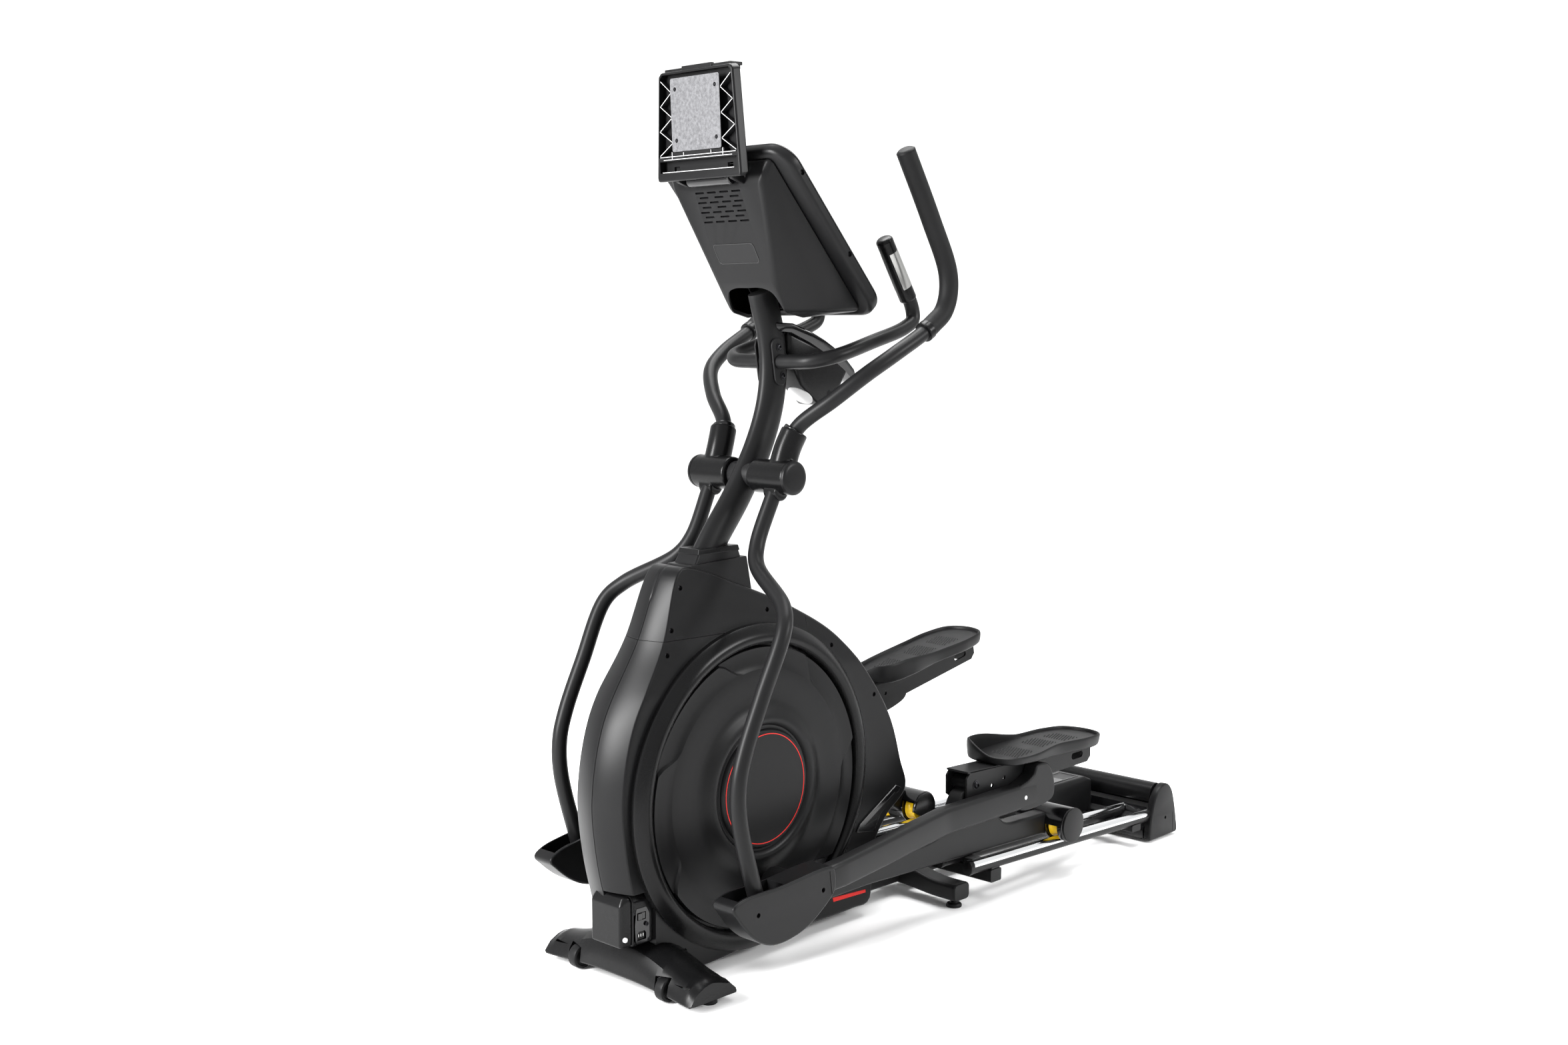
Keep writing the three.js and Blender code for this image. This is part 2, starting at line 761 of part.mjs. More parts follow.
for (const side of [-1, 1]) {
  const name = side < 0 ? "left" : "right";
  const pose = linkage(side < 0 ? CRANK_REST : CRANK_REST + Math.PI);
  const swing = { x: SWING_PIVOT.x, z: SWING_PIVOT.z, angle: pose.swingAngle };
  const link = { x: pose.shoe.x, z: pose.shoe.z, angle: pose.linkAngle };
  const arm = { x: pose.axle.x, z: pose.axle.z, angle: pose.armAngle };
  const out = (points) => points.map(([x, y, z]) => [x, side * y, z]);
  const span = (low, high) => (side < 0 ? [-high, -low] : [low, high]);
  const boxOut = (x0, x1, y0, y1, z0, z1) => box(x0, x1, ...span(y0, y1), z0, z1);
  const plateOut = (points, y0, y1, rounding) => plate(points, ...span(y0, y1), rounding);
  const barOut = (x, z, radius, y0, y1, sides, radius1) =>
    barY(x, z, radius, side * y0, side * y1, sides, radius1);

  // moving handlebar: hub cover, lower arm, upper handle and grip
  const lowerRoom = pipe(out(LOWER_ARM_PATH), TUBE_RADIUS + GAP, 24, 10);
  const upperRoom = pipe(out(UPPER_HANDLE_PATH), TUBE_RADIUS + GAP, 26, 10);
  const hubCover = cut(
    union(
      barOut(0, 0, 35.5, 33, 143, 20),
      pipe(out([[3, 98, 10], [7, 99.5, 60], [13, 106, 98]]), 29, 4, 16),
    ),
    barOut(0, 0, 12 + CLEAR, 20, 139, 16),
    lowerRoom,
    upperRoom,
  );
  add(name + "_pivot_housing", largest(hubCover), "plastic", swing);
  const pinRoom = barOut(0, 0, 13, 20, 150, 16);
  const lower = cut(
    union(
      pipe(out(LOWER_ARM_PATH), TUBE_RADIUS, 24, 10),
      barOut(0, -SWING_LENGTH, 20, 252, 288, 20),
    ),
    pinRoom,
    boxOut(-40, 40, 70, 130, -15.5, 20),
    barOut(0, -SWING_LENGTH, 7 + CLEAR, 240, 300, 16),
  );
  add(name + "_lower_arm", lower, "steel", swing);
  add(
    name + "_upper_handle",
    cut(
      pipe(out(UPPER_HANDLE_PATH), TUBE_RADIUS, 26, 10),
      pinRoom,
      boxOut(-40, 40, 70, 130, 0, 19.5),
      boxOut(-40, 60, 230, 300, 688, 720),
    ),
    "steel",
    swing,
  );
  add(
    name + "_grip",
    cut(pipe(out(GRIP_PATH), GRIP_RADIUS, 12, 10), upperRoom),
    "rubber",
    swing,
  );

  // foot link: shoe, connecting arm, pedal bracket and pedal
  const shoeSide = outline(
    [
      [-94, 70],
      [-69, 79],
      [37, 67],
      [169, 57],
      [193, 50],
      [197, 34],
      [190, 0],
      [150, -26],
      [97, -46],
      [40, -50],
      [0, -43],
      [-32, -24],
      [-58, 4],
      [-84, 46],
    ],
    24,
  );
  const shoe = cut(
    plateOut(shoeSide, SHOE_CENTRE - 30, SHOE_CENTRE + 30, { across: 6, inset: 5, steps: 2 }),
    hull(
      [-23, 23].flatMap((across) =>
        [
          [-74, 80],
          [58, 90],
          [-32, -8],
          [-14, -22],
          [30, -22],
        ].map(([x, z]) => [x, side * (SHOE_CENTRE + across), z]),
      ),
    ),
    boxOut(0, 240, SHOE_CENTRE - 18.5, SHOE_CENTRE + 18.5, -18, 40),
  );
  add(name + "_shoe", largest(shoe), "plastic", link);

  const armRun = (x) => -0.083 * x;
  const armSections = [
    [200, SHOE_CENTRE, 33.6, 54],
    [240, SHOE_CENTRE, 33, 56],
    [640, 221, 24.6, 60],
    [1000, 218.6, 3, 60],
  ].map(([x, y, z, height]) => {
    const half = height / 2;
    const middle = z + armRun(x);
    const points = [];
    for (const edge of [-1, 1]) {
      points.push([x, side * (y + edge * 18), middle - half + 8]);
      points.push([x, side * (y + edge * 18), middle + half - 8]);
      points.push([x, side * (y + edge * 10), middle - half]);
      points.push([x, side * (y + edge * 10), middle + half]);
    }
    return points;
  });
  const armHulls = [];
  for (let i = 1; i < armSections.length; i++) {
    armHulls.push(hull([...armSections[i - 1], ...armSections[i]]));
  }
  // the arm's rear end turns up beside the pedal bracket
  const armEnd = outline(
    [
      [900, -40],
      [945, -25],
      [975, -11],
      [998, -11],
      [1022, -20],
      [1039, -46],
      [1043, -80],
      [1036, -104],
      [1016, -112],
      [900, -92],
    ],
    24,
  );
  const connecting = union(
    ...armHulls,
    plateOut(armEnd, 218.6 - 18, 218.6 + 18),
    boxOut(40, 202, SHOE_CENTRE - 18, SHOE_CENTRE + 18, -14, 36),
  );
  const connectingArm = cut(
    connecting,
    boxOut(-10, 60, SHOE_CENTRE - 18, SHOE_CENTRE + 18, -60, 60),
  );
  add(name + "_connecting_arm", largest(connectingArm), "steel", link);

  const pedalFrame = (points) =>
    points.map(([x, z]) => {
      const p = turnedPoint({ x: FOOT_LINK, z: 0 }, PEDAL_PITCH, x, z);
      return [p.x, p.z];
    });
  const cheek = pedalFrame([
    [-34, -24],
    [-22, -32],
    [452, -32],
    [466, -20],
    [466, 6],
    [-20, 34],
    [-34, 20],
  ]);
  const web = pedalFrame([
    [-30, 31],
    [466, 6],
    [466, 11],
    [-30, 36],
  ]);
  const bridge = pedalFrame([
    [430, -30],
    [438, -30],
    [438, 8],
    [430, 8],
  ]);
  const bracket = cut(
    union(
      plateOut(cheek, ARM_CENTRE - 31.5, ARM_CENTRE - 26.5),
      plateOut(cheek, ARM_CENTRE + 26.5, ARM_CENTRE + 31.7),
      plateOut(web, ARM_CENTRE - 31.5, ARM_CENTRE + 31.7),
      plateOut(bridge, ARM_CENTRE - 28, ARM_CENTRE + 28),
    ),
  );
  add(name + "_pedal_bracket", bracket, "steel", link);

  // the pedal is a shallow shoe-shaped tray
  const sole = (grow, count) =>
    outline(
      [
        [70, -30],
        [92, -66],
        [170, -76],
        [280, -66],
        [400, -70],
        [470, -52],
        [488, 0],
        [470, 52],
        [400, 70],
        [280, 66],
        [170, 76],
        [92, 66],
        [70, 30],
      ].map(([x, y]) => [x + (x > 280 ? grow : -grow), y + Math.sign(y) * grow]),
      count,
    );
  const slab = (points, z0, z1) => {
    const shape = new THREE.Shape(points.map(([x, y]) => new THREE.Vector2(x, y)));
    const geometry = new THREE.ExtrudeGeometry(shape, { depth: z1 - z0, bevelEnabled: false });
    geometry.translate(-SOLE_REST.x, side * ARM_CENTRE, z0 - 39);
    geometry.rotateY(-SOLE_PITCH);
    geometry.translate(SOLE_REST.x, 0, SOLE_REST.z);
    geometry.rotateY(-PEDAL_PITCH);
    geometry.translate(FOOT_LINK, 0, 0);
    return solid(geometry);
  };
  const pedal = cut(
    union(
      slab(sole(0, 28), 39, 50),
      slab(sole(4, 28), 44, 67),
    ),
    slab(sole(-5, 28), 52, 90),
  );
  add(name + "_pedal", pedal, "rubber", link);

  // pedal arm: crank boss, tapered beam, pedal hub and the roller carrier
  const beamSide = [
    [-PEDAL_ARM, -26],
    [-420, -24],
    [-60, -22],
    [0, -22],
    [0, 24],
    [-200, 34],
    [-296, 132],
    [-366, 132],
    [-430, 40],
    [-PEDAL_ARM, 26],
  ];
  const boss = 40;
  const pedalArm = cut(
    union(
      plateOut(beamSide, ARM_CENTRE - 21, ARM_CENTRE + 21),
      barOut(-PEDAL_ARM, 0, boss, 107.6, 190, 24),
      barOut(-HUB_BACK, HUB_RISE, 19, ARM_CENTRE - 26, ARM_CENTRE + 26, 24),
      plateOut(lug(-HUB_BACK, HUB_RISE, 18.9, -HUB_BACK, 110, 34), ARM_CENTRE - 21, ARM_CENTRE + 21),
    ),
    barOut(0, 0, 38.7, 90, 260, 20),
  );
  add(name + "_pedal_arm", pedalArm, "steel", arm);

  const slots = [RAIL_INNER, RAIL_OUTER];
  const carrier = cut(
    barOut(0, 0, 38, 100, 247, 20),
    ...slots.map((y) => barOut(0, 0, 33.5, y - 17, y + 17, 20)),
    ...slots.map((y) => boxOut(-60, 60, y - 17, y + 17, -60, 4)),
    barOut(0, 0, 8 + CLEAR, 90, 240, 16),
    boxOut(-60, 60, 90, 109, -60, -20),
    boxOut(-60, 60, 143, 191, -60, -27),
    boxOut(-60, 60, 227, 270, -60, -34),
  );
  add(name + "_roller_carrier", carrier, "plastic", arm);
  const axleBar = barOut(0, 0, 8, 101, 239, 16);
  add(name + "_roller_axle", axleBar, "bright", arm);
  for (const [which, y] of [
    ["inner", RAIL_INNER],
    ["outer", RAIL_OUTER],
  ]) {
    const profile = [
      [0, -15],
      [31, -15],
      [31, -13],
      [GROOVE_RADIUS + 1.5, -9],
      [GROOVE_RADIUS, 0],
      [GROOVE_RADIUS + 1.5, 9],
      [31, 13],
      [31, 15],
      [0, 15],
    ];
    const wheel = turned(0, 0, profile, 20).translate([0, side * y, 0]);
    add(
      name + "_" + which + "_roller",
      cut(wheel, barOut(0, 0, 8 + CLEAR, 90, 250, 16)),
      "yellow",
      arm,
    );
  }
}

// ---- fixed handlebar with pulse grips -------------------------------------------------------------
const fixedBar = pipe(fixedPath, 15.5, 40, 8);
add("fixed_handlebar", fixedBar, "steel");
for (const side of [-1, 1]) {
  const name = side < 0 ? "left" : "right";
  const grip = pipe(
    [
      [731, side * 140, 1391.5],
      [690.5, side * 140, 1452],
      [645, side * 140, 1520],
    ],
    19,
    6,
    14,
  );
  add(name + "_pulse_grip", cut(grip, fixedRoom), "rubber");
}

// ---- tray behind the mast -------------------------------------------------------------------------
const trayBody = cut(
  union(
    hull([
      [478, -60, 1342],
      [478, 60, 1342],
      [486, -52, 1290],
      [486, 52, 1290],
      [584, -66, 1316],
      [584, 66, 1316],
      [712, -48, 1252],
      [712, 48, 1252],
      [712, -44, 1240],
      [712, 44, 1240],
      [640, -50, 1214],
      [640, 50, 1214],
    ]),
    barZ(590, 0, 42, 1180, 1262, 28, 46),
  ),
  barZ(590, 0, 37, 1190, 1400, 28),
  hull([
    [500, -50, 1345],
    [500, 50, 1345],
    [500, -46, 1322],
    [500, 46, 1322],
    [694, -38, 1262],
    [694, 38, 1262],
    [694, -34, 1246],
    [694, 34, 1246],
    [590, -56, 1330],
    [590, 56, 1330],
  ]),
  mastRoom,
);
add("accessory_tray", largest(trayBody), "plastic");

// ---- console --------------------------------------------------------------------------------------
const CONSOLE = { x: 450, z: 1534.5, angle: (42.7 * Math.PI) / 180 };
// The console's own axes: X out of its face toward the user, Z up along the face.
const faceSlab = (x0, x1, halfWidth, z0, z1, corner, turnSteps = 6) => {
  const points = [];
  for (const [cy, cz, from] of [
    [halfWidth - corner, z1 - corner, 0],
    [-halfWidth + corner, z1 - corner, 90],
    [-halfWidth + corner, z0 + corner, 180],
    [halfWidth - corner, z0 + corner, 270],
  ]) {
    for (let i = 0; i <= turnSteps; i++) {
      const turn = ((from + (90 * i) / turnSteps) * Math.PI) / 180;
      points.push(new THREE.Vector2(cy + corner * Math.cos(turn), cz + corner * Math.sin(turn)));
    }
  }
  const geometry = new THREE.ExtrudeGeometry(new THREE.Shape(points), {
    depth: x1 - x0,
    bevelEnabled: false,
  });
  geometry.rotateX(Math.PI / 2);
  geometry.rotateZ(Math.PI / 2);
  geometry.translate(x0, 0, 0);
  return solid(geometry);
};
const consoleFront = cut(
  union(faceSlab(-30, -8, 190, -222, 220, 52), faceSlab(-8.1, 0, 184, -216, 214, 46)),
  faceSlab(-4, 10, 118, 10, 176, 6, 3),
  faceSlab(-34, -24, 136, -196, 190, 20, 3),
);
add("console_front", consoleFront, "plastic", CONSOLE);

// The rear shell is hollow and open toward the face.
const backHull = (shrink) => {
  const s = shrink;
  const faceX = -30 - GAP;
  const points = [];
  for (const side of [-1, 1]) {
    points.push([faceX + s * 2, side * (150 - s), 205 - s]);
    points.push([faceX + s * 2, side * (150 - s), -203 + s]);
    points.push([-62 + s, side * (142 - s), 158 - s]);
    points.push([-66 + s, side * (142 - s), 150 - s * 0.6]);
    points.push([-92 + s, side * (100 - s), 40]);
    points.push([-124 + s, side * (96 - s), -26]);
    points.push([-138 + s, side * (92 - s), -98 + s * 0.5]);
    points.push([-104 + s, side * (96 - s), -140 + s]);
    points.push([-90 + s, side * (140 - s), -146 + s]);
  }
  return hull(points);
};
const archRoom = new THREE.BoxGeometry(220, 76, 114);
archRoom.translate(400, 0, 1385);
archRoom.translate(-CONSOLE.x, 0, -CONSOLE.z);
archRoom.rotateY(CONSOLE.angle);
const CRADLE = { x: 244, z: 1640, angle: (3 * Math.PI) / 180 };
const CRADLE_AXIS = turnedPoint(CRADLE, CRADLE.angle, 20, -1);
const HINGE = turnedPoint(
  { x: 0, z: 0 },
  -CONSOLE.angle,
  CRADLE_AXIS.x - CONSOLE.x,
  CRADLE_AXIS.z - CONSOLE.z,
);
const hingeLugs = [-1, 1].map((side) =>
  plate(lug(HINGE.x, HINGE.z, 8, -50, 165, 12, 5), side * 66 - 5, side * 66 + 5),
);
const consoleBack = union(cut(backHull(0), backHull(4), solid(archRoom)), ...hingeLugs);
add("console_back", largest(consoleBack), "plastic", CONSOLE);

// ---- tablet cradle --------------------------------------------------------------------------------
const ribs = [];
for (const side of [-1, 1]) {
  for (let i = 0; i < 4; i++) {
    const z = 62 + i * 32;
    const lean = i % 2 ? -1 : 1;
    ribs.push(
      hull([
        [-11, side * 84, z - lean * 14],
        [-11, side * 84, z - lean * 14 + 3],
        [-11, side * 106, z + lean * 14],
        [-11, side * 106, z + lean * 14 + 3],
        [8, side * 84, z - lean * 14],
        [8, side * 84, z - lean * 14 + 3],
        [8, side * 106, z + lean * 14],
        [8, side * 106, z + lean * 14 + 3],
      ]),
    );
  }
}
const cradleShell = cut(
  union(
    hull([
      [-12, -122, -6],
      [-12, 122, -6],
      [-12, -108, 196],
      [-12, 108, 196],
      [-12, -100, 204],
      [-12, 100, 204],
      [10, -124, -6],
      [10, 124, -6],
      [10, -110, 198],
      [10, 110, 198],
      [10, -102, 206],
      [10, 102, 206],
    ]),
    box(-4, 30, -96, 96, 203, 210),
    box(6, 20, -58, 58, -6, 4),
    barY(20, -1, 7, -60, 60, 16),
  ),
  hull([
    [-20, -114, 34],
    [-20, 114, 34],
    [-20, -102, 197],
    [-20, 102, 197],
    [5, -114, 34],
    [5, 114, 34],
    [5, -102, 197],
    [5, 102, 197],
  ]),
  box(-20, 4, -112, 112, 4, 24),
);
const cradle = union(cradleShell, ...ribs);
add("tablet_cradle", cradle, "plastic", CRADLE);
const plateHoles = [];
for (const y of [-58, 58]) {
  for (const z of [66, 168]) {
    plateHoles.push(new THREE.CylinderGeometry(4, 4, 20, 12).rotateZ(Math.PI / 2).translate(0, y, z));
  }
}
const cradlePlate = cut(box(-13.6, -11.8, -78, 78, 44, 190), ...plateHoles.map(solid));
const plateBack = box(-11.9, 4.6, -40, 40, 80, 150);
add("cradle_plate", union(cradlePlate, plateBack), "bright", CRADLE);

// ---- power inlet ----------------------------------------------------------------------------------
const inletBox = cut(
  hull([
    [-34, 34, 99.5],
    [-34, -56, 99.5],
    [-34, 34, 186],
    [-34, -56, 186],
    [-22, 30, 203],
    [-22, -52, 203],
    [40, -62, 99.5],
    [40, -62, 190],
    [40, 36, 99.5],
    [40, 36, 196],
    [40, -54, 202],
    [90, -62, 99.5],
    [90, -62, 176],
    [90, 36, 99.5],
    [90, 36, 176],
  ]),
  box(-26, 100, -54, 29, 90, 180),
);
const SOCKET = { x: 18, z: 118 };
const SWITCH = { x: 18, z: 158 };
const socketRoom = box(SOCKET.x - 17, SOCKET.x + 17, -80, -50, SOCKET.z - 13, SOCKET.z + 13);
const switchRoom = box(SWITCH.x - 12, SWITCH.x + 12, -80, -50, SWITCH.z - 9, SWITCH.z + 9);
add("inlet_box", cut(inletBox, socketRoom, switchRoom), "plastic");
const socket = cut(
  box(SOCKET.x - 17 + GAP, SOCKET.x + 17 - GAP, -63, -42, SOCKET.z - 13 + GAP, SOCKET.z + 13 - GAP),
  box(SOCKET.x - 12, SOCKET.x + 12, -70, -50, SOCKET.z - 8, SOCKET.z + 8),
);
const blades = [-6, 0, 6].map((x) =>
  box(SOCKET.x + x - 1, SOCKET.x + x + 1, -60, -49, SOCKET.z - 3, SOCKET.z + 3),
);
add("power_inlet", union(socket, ...blades), "plastic");
const rocker = union(
  plate(
    [
      [SWITCH.x - 11, SWITCH.z - 7.5],
      [SWITCH.x + 11, SWITCH.z - 7.5],
      [SWITCH.x + 11, SWITCH.z + 7.5],
      [SWITCH.x - 11, SWITCH.z + 7.5],
    ],
    -64,
    -56,
  ),
);
add("power_switch", rocker, "plastic");

export default group;
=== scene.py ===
"""Elliptical trainer: the shown surfaces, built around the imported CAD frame.

Pieces are drawn in millimetres in machine coordinates, whose X runs from the front feet
toward the rear, and SHIFT moves them into the row frame. The left side is -Y.
"""

from math import acos, asin, atan, atan2, cos, degrees, hypot, pi, radians, sin, sqrt, tan

import bmesh
import bpy
from mathutils import Matrix, Vector


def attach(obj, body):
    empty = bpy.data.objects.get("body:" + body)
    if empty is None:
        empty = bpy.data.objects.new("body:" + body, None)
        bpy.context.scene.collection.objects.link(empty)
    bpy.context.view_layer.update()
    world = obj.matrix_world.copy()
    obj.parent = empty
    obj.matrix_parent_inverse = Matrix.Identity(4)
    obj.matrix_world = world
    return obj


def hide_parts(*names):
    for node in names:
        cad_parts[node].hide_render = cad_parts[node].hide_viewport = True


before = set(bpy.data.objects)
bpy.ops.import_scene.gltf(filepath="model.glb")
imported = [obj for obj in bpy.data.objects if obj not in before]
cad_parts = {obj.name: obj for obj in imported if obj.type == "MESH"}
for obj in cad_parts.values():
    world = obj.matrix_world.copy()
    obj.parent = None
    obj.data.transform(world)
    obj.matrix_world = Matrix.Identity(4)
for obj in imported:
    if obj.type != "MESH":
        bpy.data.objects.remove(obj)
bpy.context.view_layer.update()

MM = 0.001
SHIFT = -853.7
SIDES = (("left", -1), ("right", 1))

# ---- driving dimensions (the same ones that the CAD part is built on) ----
SWING_PIVOT = (370, 1020)
SWING_LENGTH = 885
CRANK = (328, 368)
CRANK_RADIUS = 210
CRANK_REST = radians(-86)
PEDAL_ARM = 912
HUB_BACK = 335
HUB_RISE = 145
FOOT_LINK = 790
RAIL_TILT = radians(2)
AXLE = (1242, 126)
PEDAL_PITCH = radians(-7.5)
SOLE_PITCH = radians(-3)
SOLE_REST = (450, 12.4)
HOUSING_HALF = 80
ARM_CENTRE = 168
SHOE_CENTRE = 270
RAIL_INNER = 125
RAIL_OUTER = 209
RAIL_RADIUS = 12
GROOVE_RADIUS = 26
TUBE_RADIUS = 16.5
GRIP_RADIUS = 20.5


def turned_point(origin, angle, x, z):
    c, s = cos(angle), sin(angle)
    return (origin[0] + x * c - z * s, origin[1] + x * s + z * c)


def linkage(crank_angle):
    """Where one side's axle, pedal arm, shoe and handlebar stand for a crank angle."""
    pin = turned_point(CRANK, crank_angle, CRANK_RADIUS, 0)
    run = (cos(RAIL_TILT), -sin(RAIL_TILT))
    away = (AXLE[0] - pin[0], AXLE[1] - pin[1])
    b = away[0] * run[0] + away[1] * run[1]
    c = away[0] ** 2 + away[1] ** 2 - PEDAL_ARM**2
    travel = -b + sqrt(b * b - c)
    axle = (AXLE[0] + travel * run[0], AXLE[1] + travel * run[1])
    arm_angle = atan2(axle[1] - pin[1], axle[0] - pin[0])
    hub = turned_point(axle, arm_angle, -HUB_BACK, HUB_RISE)
    dx, dz = hub[0] - SWING_PIVOT[0], hub[1] - SWING_PIVOT[1]
    span = hypot(dx, dz)
    along = (SWING_LENGTH**2 - FOOT_LINK**2 + span**2) / (2 * span)
    aside = sqrt(SWING_LENGTH**2 - along**2)
    shoe = (
        SWING_PIVOT[0] + (dx * along + dz * aside) / span,
        SWING_PIVOT[1] + (dz * along - dx * aside) / span,
    )
    swing_angle = atan2(shoe[0] - SWING_PIVOT[0], SWING_PIVOT[1] - shoe[1])
    link_angle = atan2(hub[1] - shoe[1], hub[0] - shoe[0])
    return {"swing": (*SWING_PIVOT, swing_angle), "link": (*shoe, link_angle), "arm": (*axle, arm_angle)}


# ---- finishes ----
SPECKLE_SHARE = 0.4


def finish(
    name, colour, rough, metallic=0.0, grain=0.0, grain_size=0.8, vary=0.15, cloud=120.0, wear=0.0,
    coat=0.0, pores=0.0, specular=0.14,
):
    """A procedural finish: clouded colour and gloss, a fine grain, worn edges, open pores."""
    material = bpy.data.materials.new(name)
    material.use_nodes = True
    nodes, links = material.node_tree.nodes, material.node_tree.links

    def fill(node, values):
        """Sets each socket, or links it where the value is another node's output."""
        for socket, value in values.items():
            if isinstance(value, bpy.types.NodeSocket):
                links.new(value, node.inputs[socket])
            else:
                node.inputs[socket].default_value = value
        return node

    def add(kind, values, **settings):
        node = nodes.new(f"ShaderNode{kind}")
        for setting, value in settings.items():
            setattr(node, setting, value)
        return fill(node, values)

    place = nodes.new("ShaderNodeTexCoord").outputs["Object"]
    clouds = add("TexNoise", {"Scale": 1000 / cloud, "Detail": 6, "Vector": place})
    speckle = add("TexNoise", {"Scale": 1000 / grain_size, "Detail": 3, "Vector": place})
    speck = speckle.outputs["Fac"]
    part = add("Math", {0: speck, 1: SPECKLE_SHARE}, operation="MULTIPLY")
    cloudy = {0: clouds.outputs["Fac"], 1: 1 - SPECKLE_SHARE, 2: part.outputs[0]}
    blend = add("Math", cloudy, operation="MULTIPLY_ADD").outputs[0]
    shade = add("ValToRGB", {"Fac": blend})
    for stop, at, change in zip(shade.color_ramp.elements, (0.32, 0.68), (1 - vary, 1 + vary)):
        stop.position = at
        stop.color = (*[min(1.0, c * change) for c in colour], 1)
    colour_out = shade.outputs["Color"]
    if wear:
        corners = nodes.new("ShaderNodeNewGeometry").outputs["Pointiness"]
        edge = add("MapRange", {"From Min": 0.52, "From Max": 0.62, "Value": corners})
        amount = add("Math", {0: edge.outputs["Result"], 1: wear}, operation="MULTIPLY").outputs[0]
        pale = (*[min(1, c * 2.6 + 0.02) for c in colour], 1)
        worn = add("Mix", {"B": pale, "Factor": amount, "A": colour_out}, data_type="RGBA")
        colour_out = worn.outputs["Result"]
    least, most = max(0.02, rough * 0.86), min(1.0, rough * 1.14)
    gloss = add("MapRange", {"To Min": least, "To Max": most, "Value": blend})
    bump = add("Bump", {"Strength": 1.0, "Distance": grain * MM, "Height": speck})
    if pores:
        cells = add("TexVoronoi", {"Scale": 1000 / pores, "Vector": place}).outputs["Distance"]
        depth = {"Strength": 1.0, "Distance": 0.12 * pores * MM, "Height": cells}
        bump = add("Bump", {**depth, "Normal": bump.outputs["Normal"]})
    shader = nodes["Principled BSDF"]
    shader.inputs["Metallic"].default_value = metallic
    shader.inputs["Specular IOR Level"].default_value = specular
    shader.inputs["Coat Weight"].default_value = coat
    shader.inputs["Coat Roughness"].default_value = 0.12
    rough_out, normal_out = gloss.outputs["Result"], bump.outputs["Normal"]
    fill(shader, {"Base Color": colour_out, "Roughness": rough_out, "Normal": normal_out})
    return material


FINISH = {
    "coat": finish("powder_coat", (0.0058, 0.0058, 0.0061), 0.40, grain=0.06, grain_size=0.9, wear=0.25),
    "satin": finish("satin_plastic", (0.0036, 0.0036, 0.0039), 0.36, grain=0.028, wear=0.25),
    "smooth": finish("smooth_plastic", (0.003, 0.003, 0.0032), 0.27, grain=0.012, wear=0.2),
    "gloss": finish(
        "gloss_plastic", (0.003, 0.003, 0.0034), 0.17, grain=0.004, wear=0.2, coat=0.3, specular=0.3
    ),
    "rubber": finish(
        "pedal_rubber", (0.0048, 0.0048, 0.0051), 0.44, grain=0.06, grain_size=1.2, vary=0.25
    ),
    "foam": finish("grip_foam", (0.005, 0.005, 0.0053), 0.55, grain=0.04, vary=0.3, pores=1.1),
    "chrome": finish("rail_chrome", (0.80, 0.81, 0.82), 0.10, metallic=1.0, grain=0.002, vary=0.04),
    "yellow": finish(
        "roller_yellow", (0.95, 0.60, 0.008), 0.30, grain=0.01, vary=0.05, cloud=60, specular=0.4
    ),
    "plate": finish(
        "galvanised", (0.115, 0.115, 0.12), 0.42, metallic=0.4, grain=0.05, grain_size=1.3, vary=0.4,
        cloud=6,
    ),
    "iron": finish("turned_iron", (0.20, 0.20, 0.21), 0.36, metallic=1.0, grain=0.02),
    "belt": finish("belt_rubber", (0.012, 0.012, 0.012), 0.7, grain=0.05),
    "red": finish("red_paint", (0.56, 0.02, 0.016), 0.34, grain=0.01, vary=0.08),
    "bolt": finish("blackened_bolt", (0.02, 0.02, 0.022), 0.3, metallic=0.7, grain=0.02, vary=0.2),
    "zinc": finish("zinc_bolt", (0.42, 0.42, 0.41), 0.3, metallic=0.9, grain=0.02, vary=0.1),
    # Near black and rough: painted shade for the insides of the console and the power inlet.
    "hole": finish("painted_recess_shade", (0.002, 0.002, 0.002), 0.8, grain=0.01),
    "white": finish("white_plug", (0.66, 0.66, 0.66), 0.4, grain=0.01, vary=0.05),
    "screen": finish("screen_glass", (0.004, 0.005, 0.007), 0.07, vary=0.1, coat=0.6, specular=0.5),
    # Pale grey: a painted highlight on the cradle's rib edges, and the colour of the cup's base plate.
    "edge": finish("pale_grey_and_rib_highlight", (0.42, 0.42, 0.42), 0.3, grain=0.01, vary=0.1),
    "sensor": finish("pulse_sensor", (0.34, 0.34, 0.33), 0.28, metallic=1.0, grain=0.006, vary=0.05),
}


# ---- mesh tools ----
# A shape is (points, faces) in millimetres; a ring is a list of points.
def skin(rings, closed=True, loop=False):
    """Joins rings of equal length into a surface, which is capped unless it's a loop."""
    n = len(rings[0])
    points = [p for ring in rings for p in ring]
    faces = []
    rows = len(rings) if loop else len(rings) - 1
    for i in range(rows):
        a, b = i * n, ((i + 1) % len(rings)) * n
        for j in range(n if closed else n - 1):
            k = (j + 1) % n
            faces.append((a + j, a + k, b + k, b + j))
    if not loop:
        last = (len(rings) - 1) * n
        faces += [tuple(reversed(range(n))), tuple(range(last, last + n))]
    return points, faces


def merge(*shapes):
    """Puts several shapes into one."""
    points, faces = [], []
    for more_points, more_faces in shapes:
        base = len(points)
        points += list(more_points)
        faces += [tuple(base + i for i in face) for face in more_faces]
    return points, faces


def between(a, b, ta, tb, t):
    return a * ((tb - t) / (tb - ta)) + b * ((t - ta) / (tb - ta))


